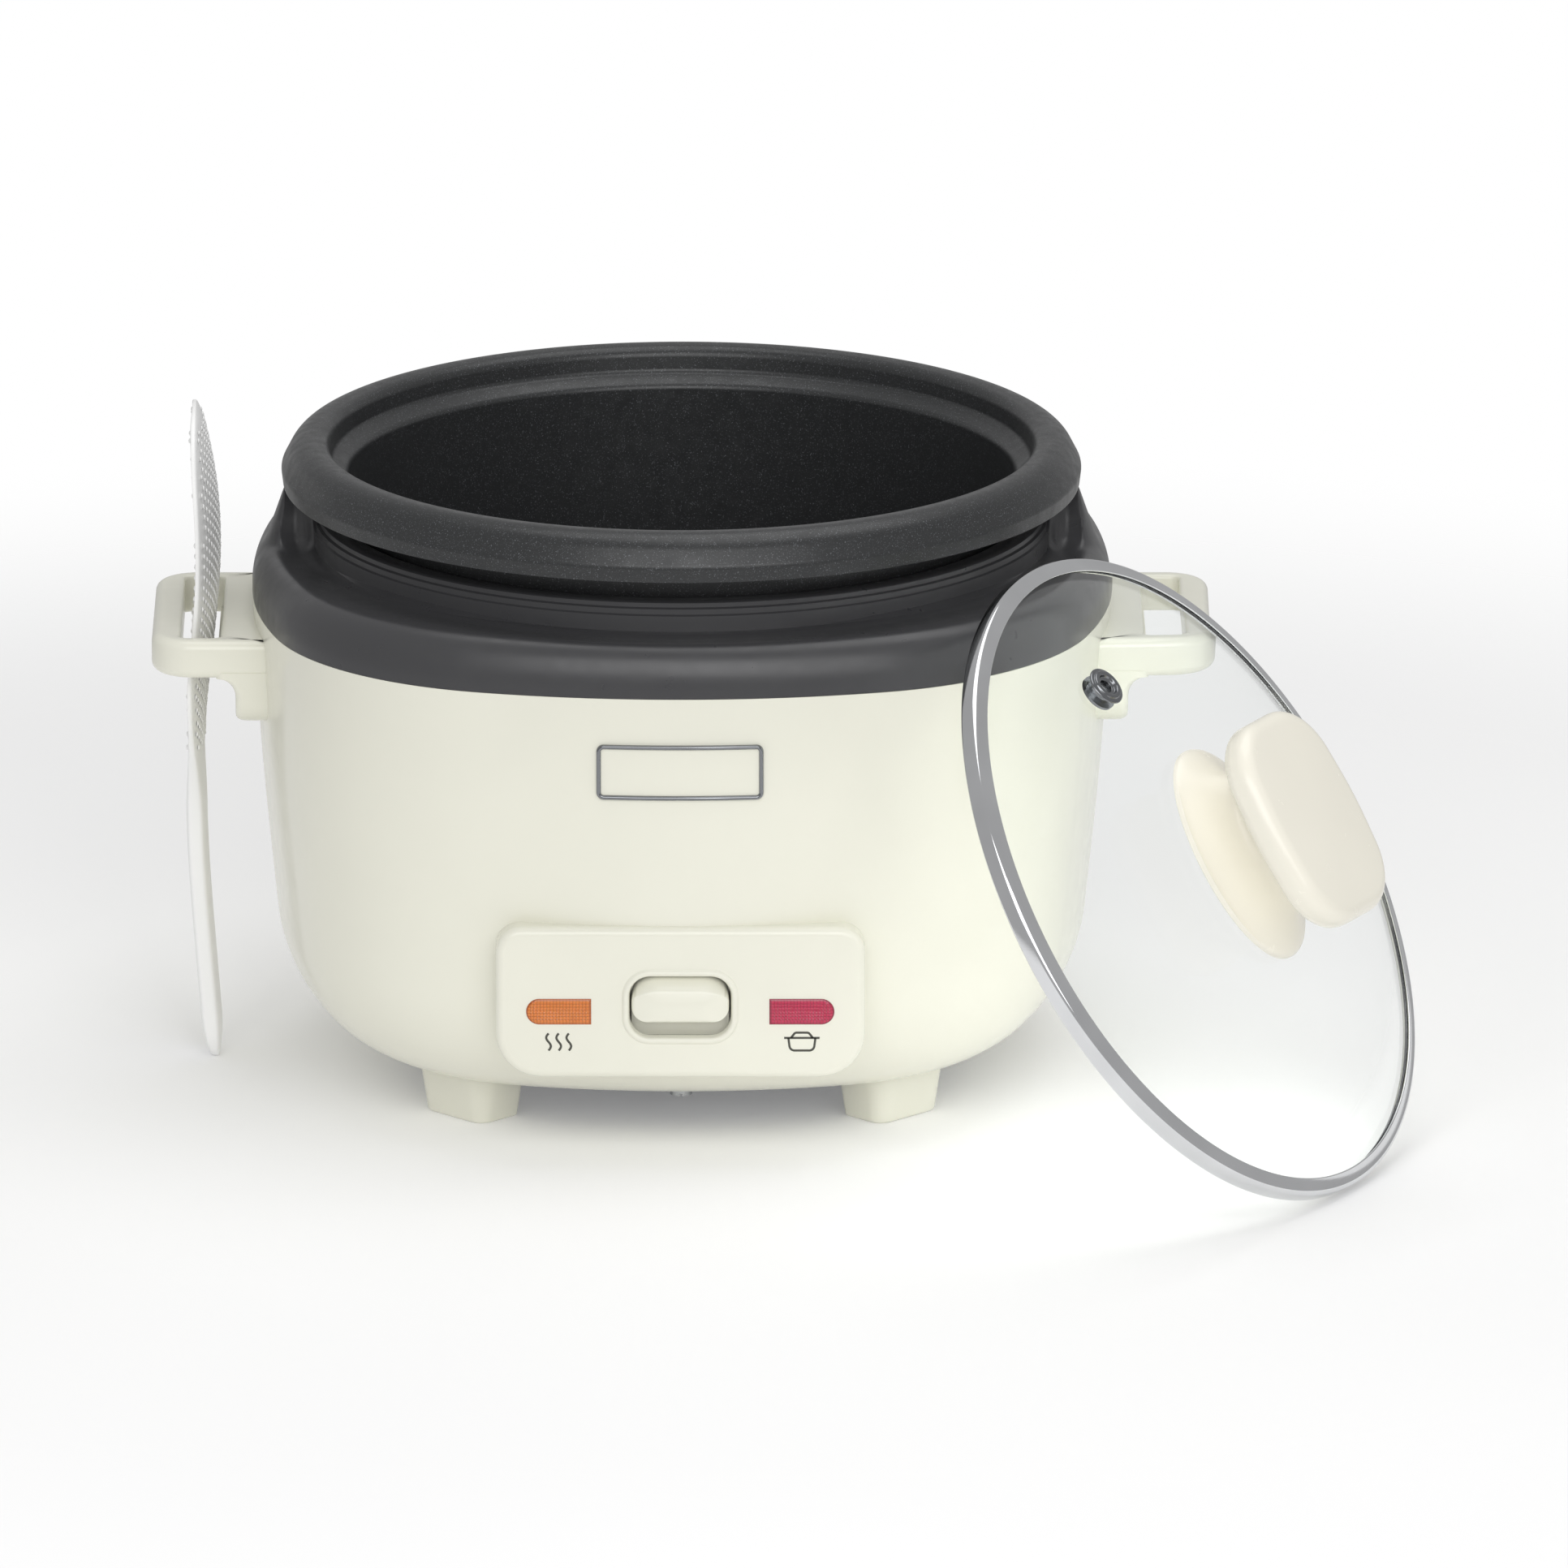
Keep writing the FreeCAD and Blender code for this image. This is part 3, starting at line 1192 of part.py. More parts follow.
def wire(points, bend):
    """An insulated wire along straight runs joined by arcs."""
    path = [Vector(*p) for p in points]
    edges = []
    here = path[0]
    for i in range(1, len(path) - 1):
        a = (path[i - 1] - path[i]).normalize()
        b = (path[i + 1] - path[i]).normalize()
        half = math.acos(max(-1.0, min(1.0, a.dot(b)))) / 2
        reach = bend / math.tan(half)
        away = bend / math.sin(half) - bend
        start, end = path[i] + a * reach, path[i] + b * reach
        edges.append(Part.LineSegment(here, start).toShape())
        edges.append(Part.Arc(start, path[i] + (a + b).normalize() * away, end).toShape())
        here = end
    edges.append(Part.LineSegment(here, path[-1]).toShape())
    line = Part.Wire(edges)
    direction = (path[1] - path[0]).normalize()
    section = Part.Wire([Part.Circle(path[0], direction, 1.3).toShape()])
    return line.makePipeShell([section], True, False)


def inner_wires():
    """The wires from the terminal block to the inlet, the heating tube and the microswitch."""
    z = FOOT_HEIGHT + 6.0
    outer, middle, inner = terminal_points()
    near = outer.y - 7.0 - GAP
    far = outer.y + 7.0 + GAP
    pin_x, pin_z = inlet_pin_points()[0]
    pin_y = LINER_RADIUS + 3.2
    half_way = ((outer.x + pin_x) / 2, (far + pin_y) / 2 + 4.0, z + 13)
    feed = wire(
        [
            (outer.x, far, z),
            (outer.x, far + 9.0, z),
            half_way,
            (pin_x, pin_y, z + 20),
            (pin_x, pin_y, pin_z - 1.0 - GAP),
        ],
        4.0,
    )
    end = tube_ends()[1](0)
    top = LINER_Z - 5.5
    heat = wire(
        [(inner.x, near, z), (inner.x, near - 10.0, z), (end.x, end.y - 8.0, z), (end.x, end.y, top)],
        3.5,
    )
    tag = PLUNGER_Y + 20.0 + GAP
    signal = wire([(middle.x, near, z), (middle.x, near - 18.0, z), (0, tag + 22, z), (0, tag, z + 3)], 6.0)
    return Part.makeCompound([feed, heat, signal])


def export(name, shape):
    """Write one node as a STEP file and print what was written."""
    solids = shape.Solids
    print(name, len(solids), shape.isValid(), round(shape.Volume))
    shape.exportStep(os.path.join("parts", name + ".step"))


def main():
    """Build every node and write it."""
    os.makedirs("parts", exist_ok=True)
    right = handle()
    left = at_turn(right, 180)
    nodes = {
        "outer_shell": outer_shell(),
        "base_cover": base_cover(),
        "collar": collar(),
        "inner_liner": inner_liner(),
        "handle_right": right.cut([hole for hole, _ in handle_fasteners(0.0)]),
        "handle_left": left.cut([hole for hole, _ in handle_fasteners(0.0)]),
        "handle_screws": Part.makeCompound([screw for _, screw in handle_fasteners()]),
        "foot_screws": Part.makeCompound([screw for _, screw in foot_fasteners()]),
        "base_screws": Part.makeCompound([screw for _, screw in base_fasteners()]),
        "control_panel": control_panel(),
        "warm_lens": lens(-1),
        "cook_lens": lens(1),
        "warm_lamp": lamp(-1),
        "cook_lamp": lamp(1),
        "badge_plate": badge_plate(),
        "heating_plate": heating_plate(),
        "heating_tube": tube_form(TUBE_RADIUS),
        "tube_bushings": bushings(),
        "heater_posts": heater_posts(),
        "heater_screws": heater_screws(),
        "thermostat_sleeve": thermostat_sleeve(),
        "sensor_cap": sensor_cap(),
        "ferrite": ferrite(),
        "magnet": magnet(),
        "magnet_rod": magnet_rod(),
        "float_spring": float_spring(),
        "magnet_spring": magnet_spring(),
        "switch_lever": switch_lever(),
        "switch_knob": switch_knob(),
        "switch_bracket": switch_bracket(),
        "pivot_pin": pivot_pin(),
        "microswitch_body": microswitch_body(),
        "microswitch_plunger": microswitch_plunger(),
        "keep_warm_heater": keep_warm_heater(),
        "thermal_fuse": thermal_fuse(),
        "power_inlet": power_inlet(),
        "inlet_pins": inlet_pins(),
        "terminal_block": terminal_block(),
        "inner_wires": inner_wires(),
        "inner_pot": inner_pot(),
        "rice_paddle": rice_paddle(),
    }
    nodes.update(feet())
    lid = {
        "lid_glass": lid_glass(),
        "lid_band": lid_band(),
        "steam_vent": steam_vent(),
        "lid_handle": lid_handle(),
        "lid_washer": lid_washer(),
        "lid_screw": lid_screw(),
    }
    place = lid_placement()
    for name, shape in lid.items():
        shape.Placement = place.multiply(shape.Placement)
        nodes[name] = shape
    for name, shape in nodes.items():
        export(name, shape)
    print("magnet travel", round(MAGNET_TRAVEL, 3), "knob angle", round(KNOB_ANGLE, 5))
    print("pivot", PIVOT_Y, round(PIVOT_Z, 3), "lid centre", place.Base)


main()
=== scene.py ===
"""Looks of an electric rice cooker with its pot, its propped glass lid and its paddle.

Shapes are worked out in millimetres in the frame of the solids, with +Z up and the front towards -Y, and
are written to the meshes in metres.
"""
import json
import logging
import math
from collections.abc import Sequence
from dataclasses import dataclass, field
from enum import Enum

import bmesh
import bpy
import numpy as np
from mathutils import Matrix, Vector


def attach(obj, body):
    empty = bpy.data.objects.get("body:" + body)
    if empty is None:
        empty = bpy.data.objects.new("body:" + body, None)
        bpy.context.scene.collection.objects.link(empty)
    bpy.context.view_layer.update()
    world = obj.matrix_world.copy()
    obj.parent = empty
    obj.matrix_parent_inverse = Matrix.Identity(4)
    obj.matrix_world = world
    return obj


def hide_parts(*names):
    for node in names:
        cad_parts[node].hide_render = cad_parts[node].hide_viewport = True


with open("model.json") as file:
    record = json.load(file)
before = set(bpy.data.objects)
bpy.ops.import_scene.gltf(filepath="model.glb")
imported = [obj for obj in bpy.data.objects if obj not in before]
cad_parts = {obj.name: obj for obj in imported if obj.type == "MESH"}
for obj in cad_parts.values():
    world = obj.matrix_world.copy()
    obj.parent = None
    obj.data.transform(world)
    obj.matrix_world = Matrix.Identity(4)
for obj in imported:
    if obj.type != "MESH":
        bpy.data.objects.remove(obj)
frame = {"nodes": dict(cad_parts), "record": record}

Array = np.ndarray
Pair = tuple[float, float]
Colour = tuple[float, float, float, float]
Socket = bpy.types.NodeSocket
Bend = tuple[float, float, float]
Rows = list[tuple[Array, object]]

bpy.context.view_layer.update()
MM = 0.001
MERGE = 1e-6
SLIVER = 1e-7
WHITE = (1.0, 1.0, 1.0, 1.0)
QUARTER = math.pi / 2
MIDDLE = (0.3, 0.7)
LOG = logging.getLogger("rice_cooker")


class Body(Enum):
    """The moving bodies that pieces ride on."""

    BASE = "base"
    POT = "pot"
    LID = "lid"
    PADDLE = "paddle"
    LEVER = "lever"


class Side(Enum):
    """The two sides of the cooker, seen from the front."""

    LEFT = -1
    RIGHT = 1


# Finishes


def linear(code: str, factor: float = 1.0) -> Colour:
    """Turn a screen colour into the linear colour that a shader takes.

    Args:
        code: Six hexadecimal digits.
        factor: How much lighter or darker it is made.

    Returns:
        Red, green, blue and a full alpha.
    """
    raw = np.array([int(code[i:i + 2], 16) for i in (0, 2, 4)]) / 255
    out = np.where(raw <= 0.04045, raw / 12.92, ((raw + 0.055) / 1.055) ** 2.4)
    return (*np.minimum(out * factor, 1.0).tolist(), 1.0)


def add_node(tree: bpy.types.NodeTree, kind: str, **links: object) -> bpy.types.Node:
    """Add a node and fill its inputs.

    Args:
        tree: The tree it goes into.
        kind: The node's type.
        links: Input names, with underscores for spaces, and either a socket to link or a value.

    Returns:
        The node.
    """
    node = tree.nodes.new(kind)
    for name, value in links.items():
        socket = node.inputs[name.replace("_", " ")]
        if isinstance(value, Socket):
            tree.links.new(value, socket)
        else:
            socket.default_value = value
    return node


class Shader:
    """A material under construction: one Principled node and helpers that hang patterns on it."""

    def __init__(self, name: str) -> None:
        """Start a material with a Principled node and an output."""
        self.material = bpy.data.materials.new("finish_" + name)
        self.material.use_nodes = True
        self.tree = self.material.node_tree
        self.tree.nodes.clear()
        self.output = self.tree.nodes.new("ShaderNodeOutputMaterial")
        self.main = self.tree.nodes.new("ShaderNodeBsdfPrincipled")
        self.tree.links.new(self.main.outputs["BSDF"], self.output.inputs["Surface"])
        self.place = self.tree.nodes.new("ShaderNodeTexCoord").outputs["Object"]

    def set(self, **values: object) -> None:
        """Set sockets of the Principled node, with spaces in their names written as underscores."""
        for name, value in values.items():
            self.main.inputs[name.replace("_", " ")].default_value = value

    def add(self, kind: str, **links: object) -> bpy.types.Node:
        """Add a node to the material and fill its inputs."""
        return add_node(self.tree, kind, **links)

    def cover(self, share: Socket, other: bpy.types.Node) -> None:
        """Let another shader show in place of the Principled node.

        Args:
            share: How much of it shows.
            other: Its node.
        """
        mix = self.add("ShaderNodeMixShader", Fac=share)
        for slot, node in enumerate((self.main, other), 1):
            self.tree.links.new(node.outputs["BSDF"], mix.inputs[slot])
        self.tree.links.new(mix.outputs["Shader"], self.output.inputs["Surface"])

    def stretched(self, scale: tuple[float, float, float]) -> Socket:
        """Object coordinates stretched by a factor on each axis."""
        return self.add("ShaderNodeMapping", Vector=self.place, Scale=scale).outputs["Vector"]

    def noise(self, scale: float, detail: float = 2.0, place: Socket | None = None) -> Socket:
        """A cloudy pattern, in pieces to the metre."""
        where = self.place if place is None else place
        node = self.add("ShaderNodeTexNoise", Vector=where, Scale=scale, Detail=detail)
        return node.outputs["Fac"]

    def ramp(self, source: Socket, stops: Sequence[tuple[float, Colour]]) -> Socket:
        """Colours picked along a pattern.

        Args:
            source: The pattern, from 0 to 1.
            stops: Places along it and their colours, two or more.

        Returns:
            The colour socket.
        """
        node = self.add("ShaderNodeValToRGB", Fac=source)
        line = node.color_ramp.elements
        while len(line) < len(stops):
            line.new(0.5)
        for element, (place, colour) in zip(line, stops):
            element.position = place
            element.color = colour
        return node.outputs["Color"]

    def spread(self, source: Socket, low: float, high: float) -> Socket:
        """A pattern's middle range mapped to run from low to high."""
        ends = {"From_Min": MIDDLE[0], "From_Max": MIDDLE[1], "To_Min": low, "To_Max": high}
        return self.add("ShaderNodeMapRange", Value=source, **ends).outputs["Result"]

    def colour(self, socket: Socket) -> None:
        """Link the base colour."""
        self.tree.links.new(socket, self.main.inputs["Base Color"])

    def roughness(self, socket: Socket) -> None:
        """Link the roughness."""
        self.tree.links.new(socket, self.main.inputs["Roughness"])

    def bump(self, height: Socket, strength: float, depth: float) -> None:
        """Raise the surface by a pattern.

        Args:
            height: The pattern.
            strength: How much of it shows.
            depth: Its height in millimetres.
        """
        node = self.add("ShaderNodeBump", Height=height, Strength=strength, Distance=depth * MM)
        self.tree.links.new(node.outputs["Normal"], self.main.inputs["Normal"])


@dataclass(frozen=True)
class Finish:
    """A named finish; each kind says how its material is made."""

    name: str
    code: str

    def make(self) -> bpy.types.Material:
        """The finish's material, made once; its name is kept apart from the solids' own materials."""
        found = bpy.data.materials.get("finish_" + self.name)
        return found or self.build()

    def build(self) -> bpy.types.Material:
        """Make the material."""
        raise NotImplementedError

    def tints(self, depth: float) -> list[tuple[float, Colour]]:
        """Two ramp stops, a little under and over the finish's colour.

        Args:
            depth: How far each stop is from it, as a share.

        Returns:
            Stops for a ramp.
        """
        return [(place, linear(self.code, 1 + off)) for place, off in zip(MIDDLE, (-depth, depth))]


@dataclass(frozen=True)
class MouldedPlastic(Finish):
    """Moulded plastic with a faint flow of tone, a fine skin and uneven gloss."""

    gloss: float = 0.24
    skin: float = 0.05
    grain: float = 1400.0
    flow: float = 14.0
    haze: float = 160.0

    def build(self) -> bpy.types.Material:
        """Make the plastic."""
        shade = Shader(self.name)
        shade.colour(shade.ramp(shade.noise(self.flow, 3.0), self.tints(0.02)))
        shade.roughness(shade.spread(shade.noise(self.haze, 3.0), self.gloss * 0.85, self.gloss * 1.15))
        shade.bump(shade.noise(self.grain, 2.0), self.skin, 0.1)
        shade.set(IOR=1.5)
        return shade.material


@dataclass(frozen=True)
class SpeckledCoat(Finish):
    """Dark non-stick coat with fine light specks."""

    fleck: str = "6A6C70"
    gloss: float = 0.33
    specks: float = 2600.0
    haze: float = 240.0
    grain: float = 1800.0

    def build(self) -> bpy.types.Material:
        """Make the coat."""
        shade = Shader(self.name)
        base, fleck = linear(self.code), linear(self.fleck)
        shade.colour(shade.ramp(shade.noise(self.specks, 1.0), [(0.62, base), (0.74, fleck)]))
        shade.roughness(shade.spread(shade.noise(self.haze, 3.0), self.gloss * 0.85, self.gloss * 1.2))
        shade.bump(shade.noise(self.grain, 2.0), 0.1, 0.1)
        shade.set(Metallic=0.15, IOR=1.5)
        return shade.material


@dataclass(frozen=True)
class Metal(Finish):
    """Bare metal with drawn streaks along one direction."""

    gloss: float = 0.14
    streak: tuple[float, float, float] = (1.0, 1.0, 12.0)
    relief: float = 0.03
    flow: float = 40.0
    drawn: float = 180.0

    def build(self) -> bpy.types.Material:
        """Make the metal."""
        shade = Shader(self.name)
        lines = shade.noise(self.drawn, 4.0, shade.stretched(self.streak))
        shade.colour(shade.ramp(shade.noise(self.flow, 2.0), self.tints(0.05)))
        shade.roughness(shade.spread(lines, self.gloss * 0.7, self.gloss * 1.4))
        shade.bump(lines, self.relief, 0.05)
        shade.set(Metallic=1.0)
        return shade.material


@dataclass(frozen=True)
class ClearGlass(Finish):
    """Tempered clear glass that lets lamp light through to what is behind it."""

    index: float = 1.28
    flow: float = 8.0
    shadow: Colour = (0.96, 0.98, 0.97, 1.0)

    def build(self) -> bpy.types.Material:
        """Make the glass."""
        shade = Shader(self.name)
        shade.colour(shade.ramp(shade.noise(self.flow, 1.0), self.tints(0.01)))
        shade.set(Transmission_Weight=1.0, Roughness=0.0, IOR=self.index)
        clear = shade.add("ShaderNodeBsdfTransparent", Color=self.shadow)
        shade.cover(shade.add("ShaderNodeLightPath").outputs["Is Shadow Ray"], clear)
        return shade.material


@dataclass(frozen=True)
class LensPlastic(Finish):
    """Coloured clear plastic over a lamp: a sheen, and a fine square net of painted shade in the creases
    where its prisms meet.
    """

    # How dark the painted crease shade is, as a share of the colour.
    crease_shade: float = 0.55
    pitch: float = 1.0
    line: float = 0.11
    flow: float = 420.0
    haze: float = 300.0

    def build(self) -> bpy.types.Material:
        """Make the lens plastic."""
        shade = Shader(self.name)
        tint = shade.ramp(shade.noise(self.flow, 2.0), self.tints(0.05))
        stand = {"Rotation": (QUARTER, 0, 0), "Scale": (1 / MM,) * 3}
        upright = shade.add("ShaderNodeMapping", Vector=shade.place, **stand).outputs["Vector"]
        cells = {"Scale": 1.0, "Mortar_Size": self.line, "Mortar_Smooth": 0.6}
        cells |= {"Brick_Width": self.pitch, "Row_Height": self.pitch}
        # The darker mortar is painted shade in the creases between the prisms.
        cells |= {"Color1": tint, "Color2": tint, "Mortar": linear(self.code, self.crease_shade)}
        crease_shade = shade.add("ShaderNodeTexBrick", Vector=upright, **cells)
        crease_shade.offset = 0.0
        shade.colour(crease_shade.outputs["Color"])
        shade.roughness(shade.spread(shade.noise(self.haze, 2.0), 0.14, 0.24))
        shade.set(IOR=1.5, Subsurface_Weight=0.15, Subsurface_Scale=0.002, Coat_Weight=0.4)
        return shade.material


CREAM = MouldedPlastic("cream_plastic", "ECEBDD", gloss=0.2, skin=0.03)
# A lighter copy of the cream plastic for the lid's grip: painted light on the grip, which faces the light.
CREAM_LIT = MouldedPlastic("cream_plastic_lit", "FAF6E8", gloss=0.24, skin=0.03)
CHARCOAL = MouldedPlastic("charcoal_plastic", "414143", gloss=0.32, skin=0.04, grain=2200.0)
DARK = MouldedPlastic("dark_plastic", "1E1E20", gloss=0.42, skin=0.12)
PADDLE_WHITE = MouldedPlastic("paddle_plastic", "FAFAF9", gloss=0.36, skin=0.05)
CERAMIC = MouldedPlastic("ceramic", "E4DFD0", gloss=0.5, skin=0.15, grain=900.0)
SILICONE = MouldedPlastic("silicone", "DBDBD6", gloss=0.55, skin=0.08)
INSULATION = MouldedPlastic("wire_insulation", "B4402F", gloss=0.45, skin=0.06)
MAGNETIC = MouldedPlastic("sintered_ferrite", "3A3B3D", gloss=0.55, skin=0.2)
INK = MouldedPlastic("printed_ink", "4A4A42", gloss=0.5, skin=0.05)
NONSTICK = SpeckledCoat("nonstick_coat", "303132")
POLISHED = Metal("polished_steel", "C9CACC", gloss=0.12)
BAND_STEEL = Metal("band_steel", "DCDDDF", gloss=0.08)
# Chrome trim darkened below any bright metal: painted dark reflection on the badge frame and the vent eyelet.
TRIM_DARK_REFLECTION = Metal("trim_dark_reflection", "85878A", gloss=0.1)
STEEL = Metal("plain_steel", "A9ABAE", gloss=0.3, relief=0.08)
SHEET = Metal("rolled_sheet", "B9BABC", gloss=0.34, streak=(1.0, 14.0, 1.0), relief=0.1)
CAST = Metal("cast_aluminium", "BFC1C3", gloss=0.4, streak=(1.0, 1.0, 1.0), relief=0.2)
BRASS = Metal("brass", "B99A55", gloss=0.26)
GLASS = ClearGlass("lid_glass", "FDFFFE")
LAMP_GLASS = LensPlastic("lamp_glass", "E9D9BE")
AMBER = LensPlastic("amber_lens", "DB7D33")
# A darker copy of the amber: painted shade along the lens's edge.
AMBER_SHADED_EDGE = LensPlastic("amber_lens_shaded_edge", "B45A20")
CRIMSON = LensPlastic("crimson_lens", "BE2A50")
# A darker copy of the crimson: painted shade along the lens's edge.
CRIMSON_SHADED_EDGE = LensPlastic("crimson_lens_shaded_edge", "93163A")

SLOT_FINISH: dict[str, Finish] = {
    "cream_plastic": CREAM,
    "charcoal_plastic": CHARCOAL,
    "nonstick": NONSTICK,
    "polished_steel": POLISHED,
    "steel": STEEL,
    "sheet_metal": SHEET,
    "cast_aluminium": CAST,
    "glass": GLASS,
    "amber": AMBER,
    "crimson": CRIMSON,
    "lamp_glass": LAMP_GLASS,
    "white_plastic": PADDLE_WHITE,
    "silicone": SILICONE,
    "ferrite": MAGNETIC,
    "ceramic": CERAMIC,
    "brass": BRASS,
    "dark_plastic": DARK,
    "insulation": INSULATION,
}


# Surfaces


@dataclass
class Patch:
    """A grid of points that becomes a strip of faces, less any cells that are left out.

    The grid has rows, columns and three coordinates in millimetres.
    """

    grid: Array
    close_rows: bool = False
    close_columns: bool = True
    finish: int = 0
    skip: Array | None = None

    def faces(self, start: int) -> Array:
        """The corner numbers of every face.

        Args:
            start: The number of the grid's first point in the mesh.

        Returns:
            One row of four numbers a face.
        """
        rows, columns = self.grid.shape[:2]
        i = np.arange(rows if self.close_rows else rows - 1)[:, None]
        j = np.arange(columns if self.close_columns else columns - 1)[None, :]
        down, right = (i + 1) % rows, (j + 1) % columns
        corners = [i * columns + j, i * columns + right, down * columns + right, down * columns + j]
        quads = np.stack([c.ravel() for c in np.broadcast_arrays(*corners)], 1) + start
        return quads if self.skip is None else quads[~self.skip.ravel()]


def show(name: str, data: bpy.types.ID) -> bpy.types.Object:
    """An object at the origin that holds some data, linked to the scene."""
    made = bpy.data.objects.new(name, data)
    bpy.context.scene.collection.objects.link(made)
    return made


def piece(
    name: str,
    patches: Sequence[Patch],
    finishes: Sequence[Finish],
    body: Body,
    stands_for: Sequence[str] = (),
    sharp: float = 40.0,
) -> bpy.types.Object:
    """Write patches to one mesh, merge their seams, turn the faces outwards and join it to a body.

    Args:
        name: The piece's name.
        patches: Its surfaces.
        finishes: Its finishes, in the order that the patches number them.
        body: The body it rides on.
        stands_for: The solids it stands for.
        sharp: The angle in degrees above which an edge stays sharp.

    Returns:
        The object.
    """
    starts = np.cumsum([0] + [p.grid.shape[0] * p.grid.shape[1] for p in patches])
    points = np.concatenate([p.grid.reshape(-1, 3) for p in patches]) * MM
    faces = np.concatenate([p.faces(int(s)) for p, s in zip(patches, starts)])
    marks = np.concatenate([np.full(len(p.faces(0)), p.finish) for p in patches])
    mesh = bpy.data.meshes.new(name)
    mesh.from_pydata(points.tolist(), [], faces.tolist())
    for finish in finishes:
        mesh.materials.append(finish.make())
    mesh.polygons.foreach_set("material_index", marks.astype(np.int32))
    work = bmesh.new()
    work.from_mesh(mesh)
    bmesh.ops.remove_doubles(work, verts=work.verts, dist=MERGE)
    bmesh.ops.dissolve_degenerate(work, edges=work.edges, dist=SLIVER)
    bmesh.ops.recalc_face_normals(work, faces=work.faces)
    work.to_mesh(mesh)
    work.free()
    mesh.shade_smooth()
    mesh.set_sharp_from_angle(angle=math.radians(sharp))
    made = show(name, mesh)
    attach(made, body.value)
    if stands_for:
        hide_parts(*stands_for)
    LOG.info("%s: %d faces on %s", name, len(mesh.polygons), body.value)
    return made


def rounded(bends: Sequence[Bend], closed: bool = True, steps: int = 10) -> Array:
    """Lines with tangent arcs at their corners.

    A corner of radius r with half angle h is left at r / tan h along both sides, and its arc runs about the
    point r / sin h along the bisector.

    Args:
        bends: The corners in order, each with its radius; 0 keeps it sharp.
        closed: Whether the last corner joins the first.
        steps: Points on each arc.

    Returns:
        The points, one a row.
    """
    table = np.asarray(bends, float)
    corners, count = table[:, :2], len(table)
    out = []
    for k, (corner, radius) in enumerate(zip(corners, table[:, 2])):
        if radius <= 0 or (not closed and k in (0, count - 1)):
            out.append(corner[None, :])
            continue
        a = corners[k - 1] - corner
        b = corners[(k + 1) % count] - corner
        a, b = a / np.linalg.norm(a), b / np.linalg.norm(b)
        half = math.acos(float(np.clip(a @ b, -1, 1))) / 2
        middle = (a + b) / np.linalg.norm(a + b)
        centre = corner + middle * radius / math.sin(half)
        across = (a - b) / np.linalg.norm(a - b)
        turn = np.linspace(QUARTER - half, half - QUARTER, steps)[:, None]
        out.append(centre + radius * (-middle * np.cos(turn) + across * np.sin(turn)))
    return np.concatenate(out)


def split(path: Array, longest: float) -> Array:
    """A path with its long runs cut into steps no longer than a length."""
    runs = []
    for a, b in zip(path[:-1], path[1:]):
        count = max(1, math.ceil(float(np.linalg.norm(b - a)) / longest))
        runs.append(a + (b - a) * np.linspace(0, 1, count, endpoint=False)[:, None])
    return np.concatenate(runs + [path[-1:]])


def normals(path: Array, closed: bool = False) -> Array:
    """Unit normals to the right of a path, from the difference of each point's neighbours."""
    if closed:
        along = np.roll(path, -1, 0) - np.roll(path, 1, 0)
    else:
        along = np.gradient(path, axis=0)
    along = along / np.linalg.norm(along, axis=1, keepdims=True)
    return np.stack([along[:, 1], -along[:, 0]], 1)


def sheet(path: Array, thick: float) -> Array:
    """The closed outline of a sheet to the right of a path: the path and its parallel, back to the start."""
    return np.concatenate([path, (path + normals(path) * thick)[::-1]])


def spun(profile: Array, count: int = 144) -> Array:
    """A profile of radius and height turned about Z.

    Args:
        profile: Radii and heights.
        count: Steps round the turn.

    Returns:
        A grid with a row for each profile point.
    """
    turn = np.linspace(0, 2 * np.pi, count, endpoint=False)
    radius, height = profile[:, :1], profile[:, 1:]
    level = np.broadcast_to(height, (len(profile), count))
    return np.stack([radius * np.cos(turn), radius * np.sin(turn), level], -1)


def placed(grid: Array, matrix: Matrix) -> Array:
    """A grid moved by a matrix."""
    full = np.array(matrix)
    return grid @ full[:3, :3].T + full[:3, 3]


